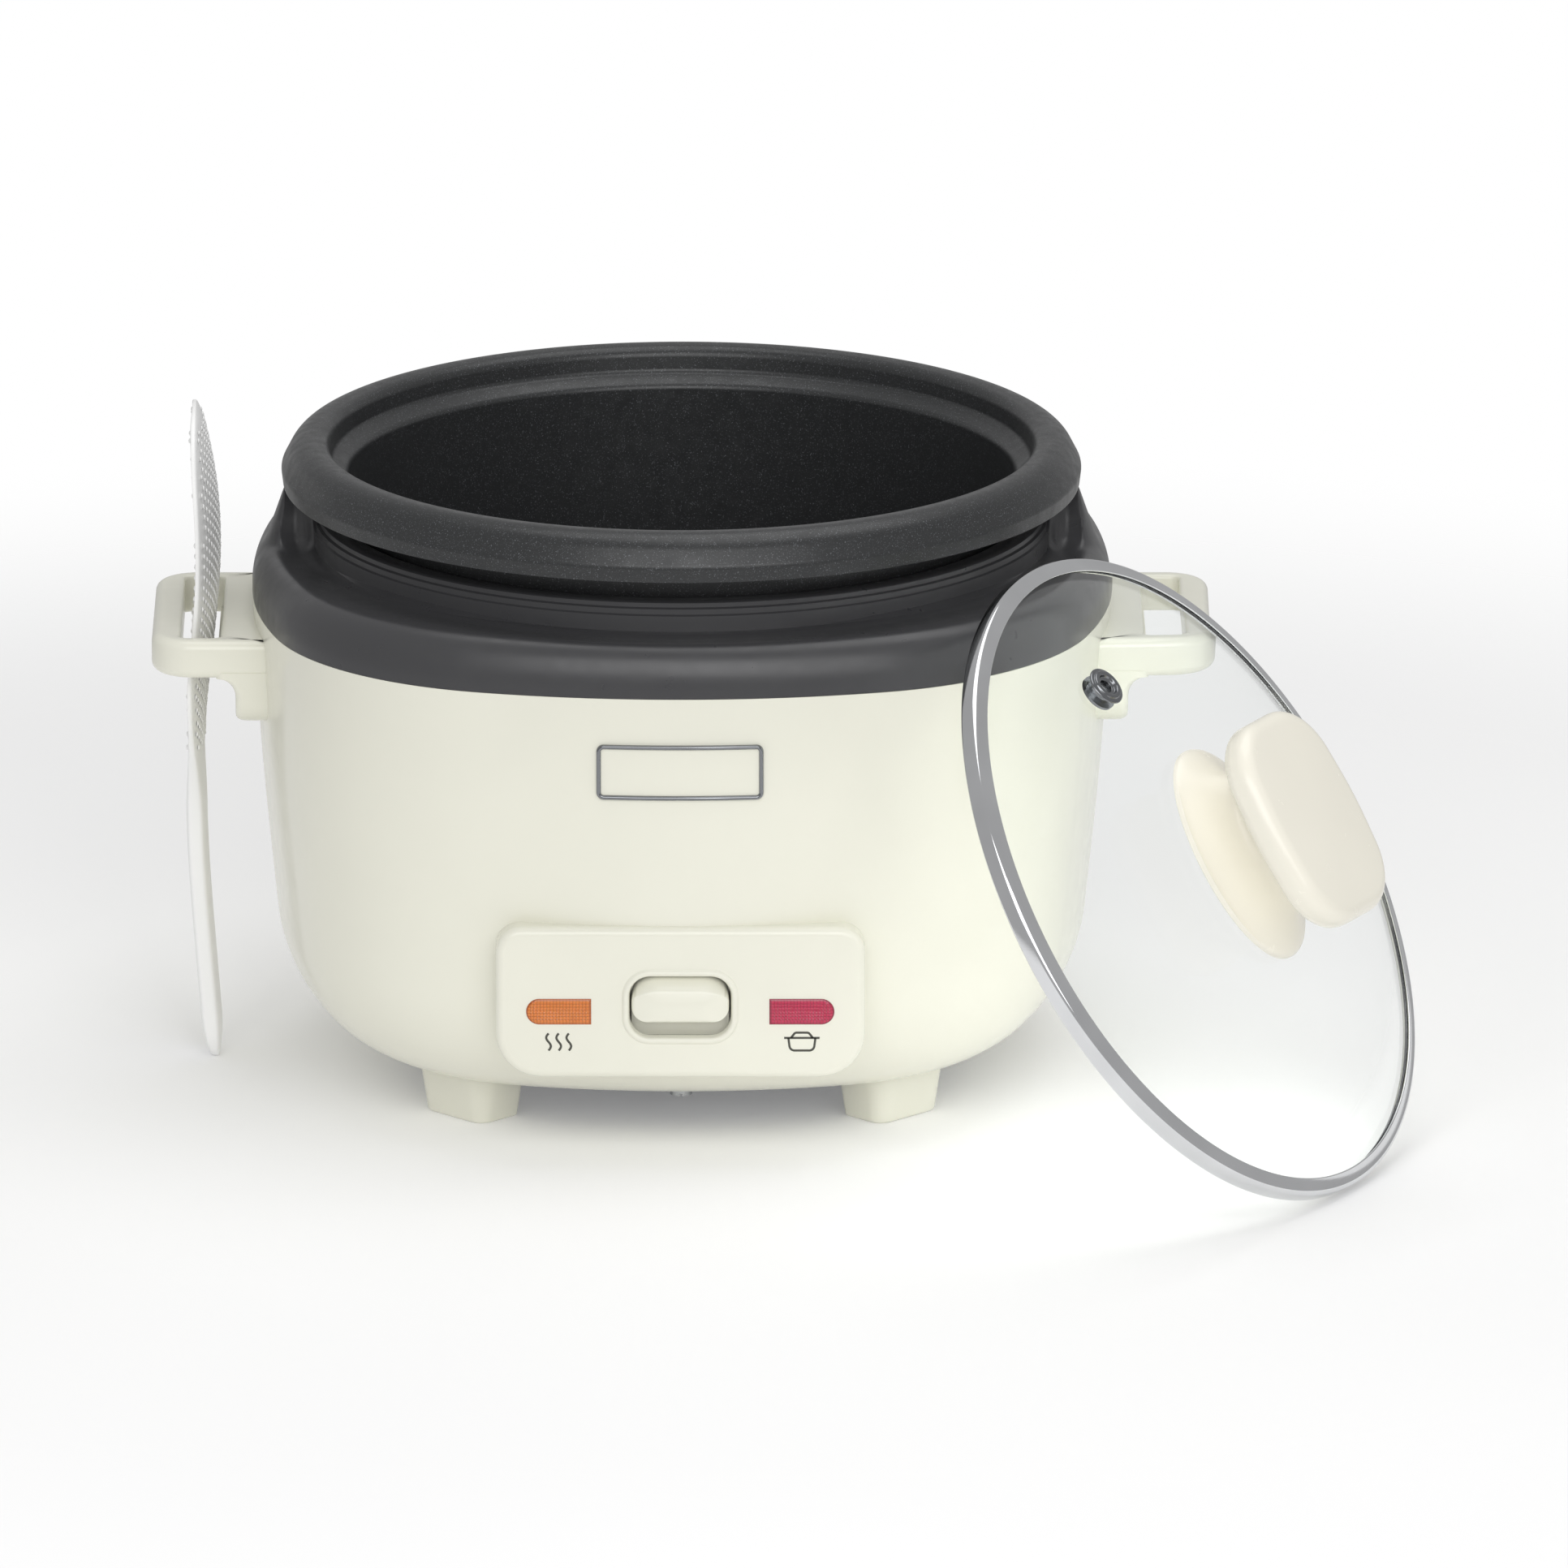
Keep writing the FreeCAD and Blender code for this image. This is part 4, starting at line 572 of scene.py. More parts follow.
@dataclass(frozen=True)
class RoundedBox:
    """A rectangle with round corners; every ring has the same count, so rings of two boxes can be joined.

    The corners and radii go round from the lower left.
    """

    low: Pair
    high: Pair
    radii: tuple[float, float, float, float]

    def ring(self, inset: float = 0.0, arc: int = 10, run: int = 8) -> Array:
        """The outline drawn in by an inset: each corner's arc keeps its centre and loses the inset.

        Args:
            inset: Millimetres inwards; negative grows the outline.
            arc: Points on each corner.
            run: Points between two corners.

        Returns:
            The outline's points, counter-clockwise.
        """
        (x0, y0), (x1, y1) = self.low, self.high
        signs = [(1, 1), (-1, 1), (-1, -1), (1, -1)]
        corners = [(x0, y0), (x1, y0), (x1, y1), (x0, y1)]
        arcs = []
        for k in range(4):
            radius = self.radii[k]
            centre = np.array(corners[k]) + radius * np.array(signs[k])
            turn = np.pi + k * QUARTER + np.linspace(0, QUARTER, arc)
            reach = max(radius, 1e-3) - inset
            arcs.append(centre + reach * np.stack([np.cos(turn), np.sin(turn)], 1))
        out = []
        for k in range(4):
            a, b = arcs[k][-1], arcs[(k + 1) % 4][0]
            share = np.linspace(0, 1, run + 2)[1:-1, None]
            out += [arcs[k], a + (b - a) * share]
        return np.concatenate(out)

    @classmethod
    def around(cls, middle: Pair, half: Pair, radius: float) -> "RoundedBox":
        """A box about a middle with the same radius at every corner."""
        (x, y), (wide, tall) = middle, half
        return cls((x - wide, y - tall), (x + wide, y + tall), (radius,) * 4)

    def middle(self) -> Array:
        """The rectangle's centre."""
        return (np.array(self.low) + np.array(self.high)) / 2

    def rolled(self, edge: float, level: float, side: int, run: int) -> Rows:
        """Rings over a quarter-round edge, from the outline in to the flat.

        Args:
            edge: The round's radius.
            level: The flat's height.
            side: 1 where the outline lies above the flat and -1 where it lies below.
            run: Points between two corners.

        Returns:
            Rings with their heights.
        """
        steps = [(edge * (1 - math.cos(a)), edge * (1 - math.sin(a))) for a in np.linspace(0, QUARTER, 8)]
        return [(self.ring(inset, run=run), level + side * off) for inset, off in steps]


def stacked(rows: Rows, axis: int = 2) -> Array:
    """Flat rings set at heights along an axis.

    Args:
        rows: Rings of two coordinates, each with its height or an array of heights.
        axis: The axis the heights run along; the ring fills the other two in order.

    Returns:
        A grid with a row for each ring.
    """
    out = []
    for ring, height in rows:
        level = np.broadcast_to(np.asarray(height, float), len(ring))
        out.append(np.insert(ring, axis, level, axis=1))
    return np.stack(out)


def to_point(ring: Array, point: Array, steps: int) -> list[Array]:
    """Rings that shrink to a point in even steps, the last one all at the point."""
    return [point + (ring - point) * share for share in np.linspace(1, 0, steps + 1)[1:]]


def between(first: Array, last: Array, steps: int) -> list[Array]:
    """Rings evenly between two rings of the same count, without the first."""
    return [first + (last - first) * share for share in np.linspace(0, 1, steps + 1)[1:]]


def capped(grid: Array) -> Array:
    """A grid with one more row at each end, all of it at that end's middle."""
    ends = [np.broadcast_to(grid[k].mean(0), grid[k].shape)[None] for k in (0, -1)]
    return np.concatenate([ends[0], grid, ends[1]])


def blend_max(a: Array, b: Array, width: float) -> Array:
    """The larger of two heights, rounded where they cross: their mean plus half the softened gap."""
    return (a + b + np.sqrt((a - b) ** 2 + width ** 2 / 4)) / 2 - width / 8


def blend_min(a: Array, b: Array, width: float) -> Array:
    """The smaller of two heights, rounded where they cross."""
    return -blend_max(-a, -b, width)


def quarter(past: Array, radius: float) -> Array:
    """How far a round corner draws in: 0 up to a radius before the end, and the radius at the end."""
    along = np.clip(past + radius, 0, radius)
    return radius - np.sqrt(radius ** 2 - along ** 2)


def smooth(t: Array) -> Array:
    """A soft step from 0 to 1 over a range, level at both ends."""
    t = np.clip(t, 0, 1)
    return t * t * (3 - 2 * t)


# Sub-assemblies


@dataclass
class Shell:
    """The cream body wall: a rounded square in plan, a leaning, faintly bulged side and a round bottom."""

    half_width: float = 133.5
    side_radius: float = 230.0
    corner_radius: float = 90.0
    seam: float = 151.5
    floor: float = 14.0
    wall: float = 2.6
    lean: float = 8.8
    bulge: float = 0.8
    waist_share: float = 0.36
    tuck: float = 0.036
    waist_round: float = 900.0
    bottom_round: float = 42.0
    lip: float = 58.0
    foot_outer: float = 103.0
    foot_deep: float = 21.0
    foot_long: float = 31.0
    foot_draw: float = 2.2
    foot_corners: tuple[float, float, float, float] = (4.0, 7.0, 7.0, 4.0)
    foot_edge: float = 1.2
    foot_sunk: float = 1.6
    well_radius: float = 5.0
    well_in: float = 8.0
    well_roof: float = 6.0
    well_edge: float = 0.4
    badge_wide: float = 51.3
    badge_tall: float = 17.6
    badge_drop: float = 23.5
    badge_round: float = 2.2
    badge_rim: float = 1.4
    badge_field: float = 0.35
    badge_sunk: float = 0.2
    inlet_z: float = 56.0
    inlet_cut: Pair = (17.5, 13.0)
    window_z: float = 52.9
    window_cut: Pair = (19.0, 17.0)

    def outline(self, per_arc: int = 44) -> tuple[Array, Array]:
        """The plan's points and outward normals.

        Eight arcs: four flat side arcs about points on the axes and four corner arcs about points on the
        diagonals, tangent where they meet.
        """
        gap = self.side_radius - self.half_width
        reach = self.side_radius - self.corner_radius
        corner = (-gap + math.sqrt(2 * reach ** 2 - gap ** 2)) / 2
        tip = math.atan2(corner, corner + gap)
        points, out = [], []
        for k in range(4):
            turn = k * QUARTER
            ahead = np.array([math.cos(turn), math.sin(turn)])
            left = np.array([-ahead[1], ahead[0]])
            runs = [(-gap * ahead, self.side_radius, turn - tip, turn + tip)]
            runs.append((corner * (ahead + left), self.corner_radius, turn + tip, turn + QUARTER - tip))
            for centre, radius, first, last in runs:
                a = np.linspace(first, last, per_arc, endpoint=False)
                normal = np.stack([np.cos(a), np.sin(a)], 1)
                points.append(centre + radius * normal)
                out.append(normal)
        return np.concatenate(points), np.concatenate(out)

    def profile(self) -> Array:
        """The outer side from the seam to the lip, as insets and heights."""
        height = self.seam - self.floor
        slope = self.lean / height
        waist_z = self.seam - self.waist_share * height
        waist = (self.seam - waist_z) * slope - self.bulge
        foot = waist + (waist_z - self.floor) * (slope + self.tuck)
        bends = [(0.0, self.seam, 0), (waist, waist_z, self.waist_round)]
        bends += [(foot, self.floor, self.bottom_round), (self.lip, self.floor, 0)]
        return split(rounded(bends, closed=False, steps=28), 4.0)

    def swept(self, profile: Array) -> Array:
        """A profile of insets and heights carried round the plan, each inset along the plan's normal."""
        points, out = self.outline()
        flat = points[None] - profile[:, :1, None] * out[None]
        level = np.broadcast_to(profile[:, 1:], flat.shape[:2])
        return np.concatenate([flat, level[..., None]], -1)

    def inset_at(self, height: object) -> Array:
        """How far the outer side stands inside the seam at a height.

        The profile's level stretch is nudged upwards, so that its heights rise all the way.
        """
        path = self.profile()[::-1]
        rise = np.maximum.accumulate(path[:, 1] + np.arange(len(path)) * 1e-9)
        return np.interp(height, rise, path[:, 0])

    def reach(self, along: object, height: object) -> Array:
        """The distance from the axis of a side's surface at a place along that side and a height.

        The side is an arc of the side radius, less the inset, about a point behind the axis.
        """
        radius = self.side_radius - self.inset_at(height)
        return np.sqrt(radius ** 2 - np.asarray(along) ** 2) - (self.side_radius - self.half_width)

    def build(self) -> None:
        """Make the wall, the feet and the badge."""
        grid = self.swept(sheet(self.profile(), -self.wall))
        wall = Patch(grid, close_rows=True, skip=np.zeros(grid.shape[:2], bool))
        inlet = self.cut_hole(wall, 1, self.inlet_z, self.inlet_cut)
        window = self.cut_hole(wall, -1, self.window_z, self.window_cut)
        piece("body_wall", [wall, inlet, window], [CREAM], Body.BASE, ["outer_shell"])
        for k, corner in enumerate(("back_right", "back_left", "front_left", "front_right")):
            self.build_foot(45 + 90 * k, "foot_" + corner)
        self.build_badge()

    def cut_hole(self, wall: Patch, facing: int, middle: float, size: Pair) -> Patch:
        """Leave out a block of the wall's cells, outside and inside, and line the hole.

        A point of the outer face and the point behind it are as far from the two ends of the rows.

        Args:
            wall: The wall, whose left-out cells are marked.
            facing: -1 for the front and 1 for the back.
            middle: The hole's height.
            size: Half its width and half its height, rounded down to whole cells.

        Returns:
            The lining.
        """
        last = len(wall.grid) - 1
        outer = wall.grid[:(last + 1) // 2]
        rows = np.flatnonzero(np.abs(outer[:, 0, 2] - middle) < size[1])
        level = outer[rows[0]]
        columns = np.flatnonzero((np.abs(level[:, 0]) < size[0]) & (level[:, 1] * facing > 0))
        top, low, first, end = rows[0], rows[-1], columns[0], columns[-1]
        wall.skip[top:low, first:end] = True
        wall.skip[last - low:last - top, first:end] = True
        down, along = np.arange(top, low), np.arange(first, end)
        i = np.concatenate([np.full_like(along, top), down, np.full_like(along, low), down[::-1] + 1])
        j = np.concatenate([along, np.full_like(down, end), along[::-1] + 1, np.full_like(down, first)])
        return Patch(np.stack([wall.grid[i, j], wall.grid[last - i, j]]))

    def build_foot(self, turn: float, node: str) -> None:
        """A foot: rounded blocks stacked from the sole up into the shell, with a round screw well.

        Args:
            turn: Its direction in degrees.
            node: The solid it stands for.
        """
        inner = self.foot_outer - self.foot_deep
        half = self.foot_long / 2
        block = RoundedBox((inner, -half), (self.foot_outer, half), self.foot_corners)
        hole = RoundedBox.around((inner + self.well_in, 0), (self.well_radius,) * 2, self.well_radius)
        roof, rim = self.floor - self.well_roof, self.well_edge
        draw, edge = self.foot_draw, self.foot_edge
        rows = [(ring, roof) for ring in to_point(hole.ring(), hole.middle(), 1)]
        rows += [(hole.ring(), roof), (hole.ring(), rim), (hole.ring(-rim), 0.0)]
        rows.append((block.ring(draw + edge), 0.0))
        for a in np.linspace(0, QUARTER, 6)[1:]:
            rows.append((block.ring(draw + edge * (1 - math.sin(a))), edge * (1 - math.cos(a))))
        top = self.floor + self.foot_sunk
        rows.append((block.ring(), top))
        rows += [(ring, top) for ring in to_point(block.ring(), block.middle(), 1)]
        grid = placed(stacked(rows), Matrix.Rotation(math.radians(turn), 4, "Z"))
        piece(node + "_block", [Patch(grid)], [CREAM], Body.BASE, [node])

    def build_badge(self) -> None:
        """The bare badge: a raised frame of bright metal, darkened as a painted dark reflection, on the wall
        round a plain field.
        """
        middle = (0.0, self.seam - self.badge_drop)
        box = RoundedBox.around(middle, (self.badge_wide / 2, self.badge_tall / 2), self.badge_round)

        def proud(rows: Rows) -> Array:
            """Rings that each stand off the wall by a height."""
            return stacked([(r, -self.reach(r[:, 0], r[:, 1]) - high) for r, high in rows], axis=1)

        rim = [(0.0, -0.3), (0.0, 0.75), (0.2, 1.1), (0.55, 1.25), (0.9, 1.2), (1.25, 0.95)]
        rim += [(self.badge_rim, 0.5), (self.badge_rim, -0.3)]
        bead = Patch(proud([(box.ring(inset, run=14), high) for inset, high in rim]), close_rows=True)
        # The frame's metal is darkened: painted dark reflection.
        piece("badge_frame", [bead], [TRIM_DARK_REFLECTION], Body.BASE, ["badge_plate"])
        edge = box.ring(self.badge_rim, run=14)
        rings = [edge] + to_point(edge, box.middle(), 8)
        front, back = (proud([(r, high) for r in rings]) for high in (self.badge_field, -self.badge_sunk))
        patches = [Patch(front), Patch(back), Patch(np.stack([front[0], back[0]]))]
        piece("badge_field", patches, [CREAM], Body.BASE)


@dataclass
class Collar:
    """The charcoal ring: a soft shoulder, a neck, a ridge at each side and a valley front and back."""

    shell: Shell
    neck: float = 115.0
    neck_top: float = 177.0
    shoulder: float = 168.3
    round_wide: float = 9.0
    round_tall: float = 14.0
    ridge_top: float = 183.5
    ridge_foot: float = 123.6
    ridge_slope: float = 2.9
    ridge_half: float = 9.0
    ridge_fall: float = 4.0
    valley_radius: float = 6.0
    valley_z: float = 173.0
    valley_stretch: float = 1.8
    valley_lean: float = 2.2
    valley_rise: float = 3.0
    ridge_blend: float = 4.0
    valley_blend: float = 2.2
    neck_clear: float = 0.02
    wall: float = 2.6
    seam_gap: float = 0.15
    lap: float = 1.6
    steps: tuple[Pair, ...] = ((114.9, 172.9), (114.2, 173.3), (114.1, 174.9), (113.2, 175.3), (113.1, 176.6))
    bore: tuple[Pair, ...] = ((112.4, 177.0), (107.4, 177.0), (106.6, 176.6), (106.4, 175.8), (106.4, 174.4))

    def edge(self, turn: Array) -> tuple[Array, Array]:
        """The plan's distance from the axis in each direction, and how square the plan is to it there."""
        points, out = self.shell.outline(60)
        angle = np.unwrap(np.arctan2(points[:, 1], points[:, 0]))
        far = np.linalg.norm(points, axis=1)
        square = np.sum(points * out, 1) / far
        far, square = (np.interp(turn, angle, row, period=2 * np.pi) for row in (far, square))
        return far, square

    def height(self, radius: Array, turn: Array, far: Array, square: Array) -> Array:
        """The top surface over a radius and direction.

        The larger of the shoulder's quarter ellipse and the ridge, blended, and then the smaller of that
        and the valley's half round, blended. The ridge falls straight outwards and by the square of the
        distance from its crest. The valley's distance is measured to its middle line and, past its ends,
        to the end points; it is stretched along the line and on the outer side.
        """
        inset = np.clip((far - radius) * square, 0, self.round_wide)
        rise = self.round_tall * np.sqrt(1 - (1 - inset / self.round_wide) ** 2)
        fall = np.maximum(radius - self.ridge_foot, 0) * self.ridge_slope
        ridge = self.ridge_top - fall - self.ridge_fall * (radius * np.sin(turn) / self.ridge_half) ** 2
        form = blend_max(self.shoulder - self.round_tall + rise, ridge, self.ridge_blend)
        middle = self.neck + self.valley_radius
        half = QUARTER - (self.ridge_half + self.valley_radius * self.valley_stretch) / middle
        off = np.abs(np.abs(turn) - QUARTER)
        past = np.maximum(off - half, 0) * middle / self.valley_stretch
        across = np.where(radius > middle, (radius - middle) / self.valley_lean, radius - middle)
        away = np.hypot(across, past)
        inside = np.sqrt(np.maximum(self.valley_radius ** 2 - np.minimum(away, self.valley_radius) ** 2, 0))
        over = np.maximum(away - self.valley_radius, 0) * self.valley_rise
        valley = self.valley_z - inside + over
        top = blend_min(form, valley, self.valley_blend)
        return np.where(radius < self.neck, self.neck_top, top)

    def build(self) -> None:
        """Make the ring as rows over the side, across the top, down the bore and back underneath."""
        turn = np.linspace(-np.pi, np.pi, 480, endpoint=False)
        far, square = self.edge(turn)
        start, stop = far - self.round_wide / square, self.neck + self.neck_clear
        roll = 1 - np.cos(np.linspace(0, QUARTER, 20))
        over = [far - self.round_wide * share / square for share in roll]
        over += [start + (stop - start) * share for share in np.linspace(0, 1, 40)[1:]]
        rows = [(radius, self.height(radius, turn, far, square)) for radius in over]
        brow = np.minimum(rows[-1][1], self.neck_top)
        rows += [(radius, np.maximum(brow, z)) for radius, z in self.steps]
        inner, seam = far - self.wall, self.shell.seam
        low = seam + self.seam_gap
        rows = [(far, low)] + rows + list(self.bore) + [(inner, seam + self.lap), (inner, low)]
        lines = [np.broadcast_arrays(r * np.cos(turn), r * np.sin(turn), z) for r, z in rows]
        ring = Patch(np.stack(lines).transpose(0, 2, 1), close_rows=True)
        piece("collar_ring", [ring], [CHARCOAL], Body.BASE, ["collar"])


@dataclass
class Pot:
    """The lift-out pot: one drawn sheet with a lid ledge and a wide rolled rim."""

    crest: float = 200.0
    depth: float = 138.0
    wall: float = 1.5
    top_radius: float = 103.5
    taper: float = 3.0
    bottom_round: float = 18.0
    ledge_drop: float = 9.0
    rim_radius: float = 125.0
    rim_low: float = 186.0

    def profile(self) -> Array:
        """The sheet's inner line from the middle of the bottom to the rim's lower edge, with round bends."""
        low = self.crest - self.depth + self.wall
        ledge = self.crest - self.ledge_drop
        top, lip = self.top_radius, self.rim_radius
        bends = [
            (0.0, low, 0),
            (top - self.taper, low, self.bottom_round),
            (top, ledge - 2.0, 2.6),
            (top + 5.4, ledge + 0.8, 2.2),
            (top + 6.2, self.crest - 0.6, 3.6),
            (lip - 5.6, self.crest + 0.4, 8.0),
            (lip - 0.6, self.rim_low + 4.8, 3.0),
            (lip - 1.2, self.rim_low, 0),
        ]
        return split(rounded(bends, closed=False, steps=18), 6.0)

    def build(self) -> None:
        """Make the pot."""
        patch = Patch(spun(sheet(self.profile(), self.wall), 220), close_rows=True)
        piece("cooking_pot", [patch], [NONSTICK], Body.POT, ["inner_pot"])


@dataclass
class Panel:
    """The raised plate on the front: its windows' lip, two lenses, the marks under them and the knob."""

    shell: Shell
    wide: float = 113.5
    tall: float = 48.0
    foot: float = 30.0
    face: float = 131.0
    top_round: float = 8.0
    low_round: float = 14.0
    edge: float = 2.6
    wall: float = 2.0
    sunk: float = 0.6
    window_wide: float = 31.5
    window_tall: float = 19.5
    window_round: float = 6.5
    lens_long: float = 20.0
    lens_tall: float = 8.2
    lens_x: float = 37.4
    lens_z: float = 51.4
    prism: float = 1.0
    prism_high: float = 0.28
    prism_from: float = 0.5
    prism_fade: float = 0.4
    lens_crown: float = 0.45
    crown_wide: float = 0.6
    lens_proud: float = 0.05
    lens_border: float = 0.45
    mark_scale: float = 1.3
    mark_drop: float = 5.6
    ink_half: float = 0.34
    ink_proud: float = 0.06
    ink_deep: float = 0.2
    knob_side: float = 0.7
    knob_low: float = 4.6
    knob_high: float = 5.4
    knob_proud: float = 3.0
    knob_bow: float = 3.0
    knob_low_round: float = 5.0
    knob_top_round: float = 9.0
    knob_hidden: float = 1.5
    knob_edge: float = 1.2
    shield_deep: float = 4.98
    shield_thick: float = 1.4
    shield_rise: float = 2.9
    shield_drop: float = 0.5
    shield_corner: float = 1.0

    def build(self) -> None:
        """Make the plate, the lenses, the marks and the knob."""
        self.build_plate()
        self.build_lens(Side.LEFT, "warm_lens", [AMBER, AMBER_SHADED_EDGE])
        self.build_lens(Side.RIGHT, "cook_lens", [CRIMSON, CRIMSON_SHADED_EDGE])
        self.build_marks()
        self.build_knob()

    def window(self) -> RoundedBox:
        """The switch window's outline."""
        half = (self.window_wide / 2, self.window_tall / 2)
        return RoundedBox.around((0.0, self.shell.window_z), half, self.window_round)

    def build_plate(self) -> None:
        """One closed strip: out from the wall, round the edge, over the face and the lip, into the window."""
        half = self.wide / 2
        radii = (self.low_round, self.low_round, self.top_round, self.top_round)
        plate = RoundedBox((-half, self.foot), (half, self.foot + self.tall), radii)
        hole = self.window()
        outer, flat, inner = (plate.ring(inset, run=14) for inset in (0.0, self.edge, self.wall))
        roots = [(r, self.sunk - self.shell.reach(r[:, 0], r[:, 1])) for r in (outer, inner)]
        rows = roots[:1] + plate.rolled(self.edge, -self.face, 1, 14)
        rows += [(ring, -self.face) for ring in between(flat, hole.ring(-2.2, run=14), 6)]
        bead = [(-1.9, 0.35), (-1.5, 0.75), (-1.0, 0.9), (-0.5, 0.75), (-0.1, 0.3), (0.0, -0.4), (0.25, -1.2)]
        bead.append((0.25, -self.wall))
        rows += [(hole.ring(grow, run=14), -self.face - high) for grow, high in bead]
        rows += [(inner, -self.face + self.wall)] + roots[1:]
        plate_patch = Patch(stacked(rows, axis=1), close_rows=True)
        piece("panel_plate", [plate_patch], [CREAM], Body.BASE, ["control_panel"])

    def lens_rim(self, along: Array, up: Array) -> Array:
        """How far inside a lens's outline, a bar with one round end, a place on its face is."""
        long, tall = self.lens_long / 2, self.lens_tall / 2
        tip = tall - np.hypot(np.maximum(along - long + tall, 0), up)
        return np.minimum(np.minimum(long + along, tall - np.abs(up)), tip)

    def build_lens(self, side: Side, node: str, finishes: Sequence[Finish]) -> None:
        """A lens with a round outer end: a darker edge of painted shade and a face of small square pyramids.

        The face's height is the product of two triangle waves of the prism pitch, less at the edge.

        Args:
            side: Which side it is on.
            node: The solid it stands for.
            finishes: The face's finish and the edge's darker one, which is painted shade.
        """
        long, tall = self.lens_long / 2, self.lens_tall / 2
        turn = long - tall
        end = turn + tall * np.sin(np.linspace(0, QUARTER, 24)[1:])
        x = np.concatenate([np.linspace(-long, turn, 64), end])
        bow = np.sqrt(np.maximum(tall ** 2 - np.maximum(x - turn, 0) ** 2, 0))
        share = np.linspace(-1, 1, 41)
        across = x[:, None] * np.ones_like(share)[None]
        up = bow[:, None] * share[None]
        rim = self.lens_rim(across, up)
        ridges = [1 - np.abs(np.mod(place / self.prism, 1) * 2 - 1) for place in (across, up)]
        fade = np.clip((rim - self.prism_from) / self.prism_fade, 0, 1)
        crown = self.lens_crown * np.sqrt(np.clip(rim / self.crown_wide, 0, 1))
        face = -self.face - self.lens_proud - crown - self.prism_high * ridges[0] * ridges[1] * fade
        back = np.full_like(face, -self.face + self.sunk)
        shift = np.array([side.value * self.lens_x, 0, self.lens_z])
        grids = [np.stack([side.value * across, y, up], -1) + shift for y in (face, back)]
        edge = [np.stack([g[0] for g in grids])] + [np.stack([g[:, k] for g in grids]) for k in (0, -1)]
        patches = [Patch(g, close_columns=False) for g in grids]
        patches += [Patch(e, close_columns=False, finish=1) for e in edge]
        made = piece(node + "_prism", patches, finishes, Body.BASE, [node], sharp=20.0)
        # The faces along the outline take the painted shade.
        self.paint_edge_shade(made)

    def paint_edge_shade(self, made: bpy.types.Object) -> None:
        """Give the faces nearest a lens's outline the second, darker finish: painted shade along the edge."""
        mesh = made.data
        centre = np.empty(len(mesh.polygons) * 3)
        mesh.polygons.foreach_get("center", centre)
        spot = centre.reshape(-1, 3) / MM
        rim = self.lens_rim(np.abs(spot[:, 0]) - self.lens_x, spot[:, 2] - self.lens_z)
        mesh.polygons.foreach_set("material_index", (rim < self.lens_border).astype(np.int32))

    def build_marks(self) -> None:
        """Plain marks under the lenses: three rising waves and a lidded pot, as thin printed strokes."""
        low = self.lens_z - self.lens_tall / 2 - self.mark_drop
        t = np.linspace(0, 1, 25)
        waves = [np.stack([k * 2.4 + 0.55 * np.sin(t * 2 * np.pi), -2.1 + 4.2 * t], 1) for k in (-1, 0, 1)]
        pot = [
            rounded([(-3.2, 1.0, 0), (-2.8, -2.1, 1.2), (2.8, -2.1, 1.2), (3.2, 1.0, 0)], closed=False),
            np.array([(-4.2, 1.0), (4.2, 1.0)]),
            rounded([(-2.6, 1.0, 0), (-1.6, 2.3, 0.8), (1.6, 2.3, 0.8), (2.6, 1.0, 0)], closed=False),
        ]
        for name, x, lines in (("warm_mark", -self.lens_x, waves), ("cook_mark", self.lens_x, pot)):
            patches = [self.stroke(line * self.mark_scale + np.array([x, low])) for line in lines]
            piece(name, patches, [INK], Body.BASE)

    def stroke(self, line: Array) -> Patch:
        """A printed stroke along a line: a flat bar just proud of the face, closed at both ends.

        Args:
            line: The stroke's middle line.

        Returns:
            The stroke's surface.
        """
        side = normals(line) * self.ink_half
        front, back = -self.face - self.ink_proud, -self.face + self.ink_deep
        corners = [(side, front), (side, back), (-side, back), (-side, front)]
        return Patch(capped(np.stack([np.insert(line + off, 1, y, axis=1) for off, y in corners], 1)))

    def build_knob(self) -> None:
        """The knob: a bowed bar in the window with a slope above it, on a plate that hides what is behind.

        A closed side view is carried across the window. At each place across, its heights are squeezed
        between the round lower and upper corners, and its depths stop at the plan's bow.
        """
        half, middle = self.window_wide / 2 - self.knob_side, self.shell.window_z
        low, high = middle - self.knob_low, middle + self.knob_high
        slope = middle + self.window_tall / 2 + self.knob_hidden
        base, front = -self.face + self.shield_deep, -self.face - self.knob_proud
        view = [(base, low, 0), (front + 0.8, low, 1.6), (front, middle + 0.4, 12.0)]
        view += [(front + 1.4, high, 1.6), (base, slope, 0)]
        side = rounded(view, steps=9)
        x = half * np.sin(np.linspace(-QUARTER, QUARTER, 61))
        floor_z = low + quarter(np.abs(x) - half, self.knob_low_round)
        roof_z = slope - quarter(np.abs(x) - half, self.knob_top_round)
        share = (side[:, 1] - low) / (slope - low)
        z = floor_z[:, None] + (roof_z - floor_z)[:, None] * share[None]
        bow = front - 0.4 + self.knob_bow * (x / half) ** 2 + quarter(np.abs(x) - half, self.knob_edge)
        y = np.minimum(blend_max(np.broadcast_to(side[:, 0], z.shape), bow[:, None], 0.6), base)
        bar = np.stack([np.broadcast_to(x[:, None], z.shape), y, z], -1)
        top = slope + self.shield_rise
        foot = middle - self.window_tall / 2 - self.shield_drop
        plate = RoundedBox((-half, foot), (half, top), (self.shield_corner,) * 4)
        point = to_point(plate.ring(), plate.middle(), 1)[0]
        back = base + self.shield_thick
        shield = [(point, base), (plate.ring(), base), (plate.ring(), back), (point, back)]
        patches = [Patch(capped(bar)), Patch(stacked(shield, axis=1))]
        piece("switch_bar", patches, [CREAM], Body.LEVER, ["switch_knob"])


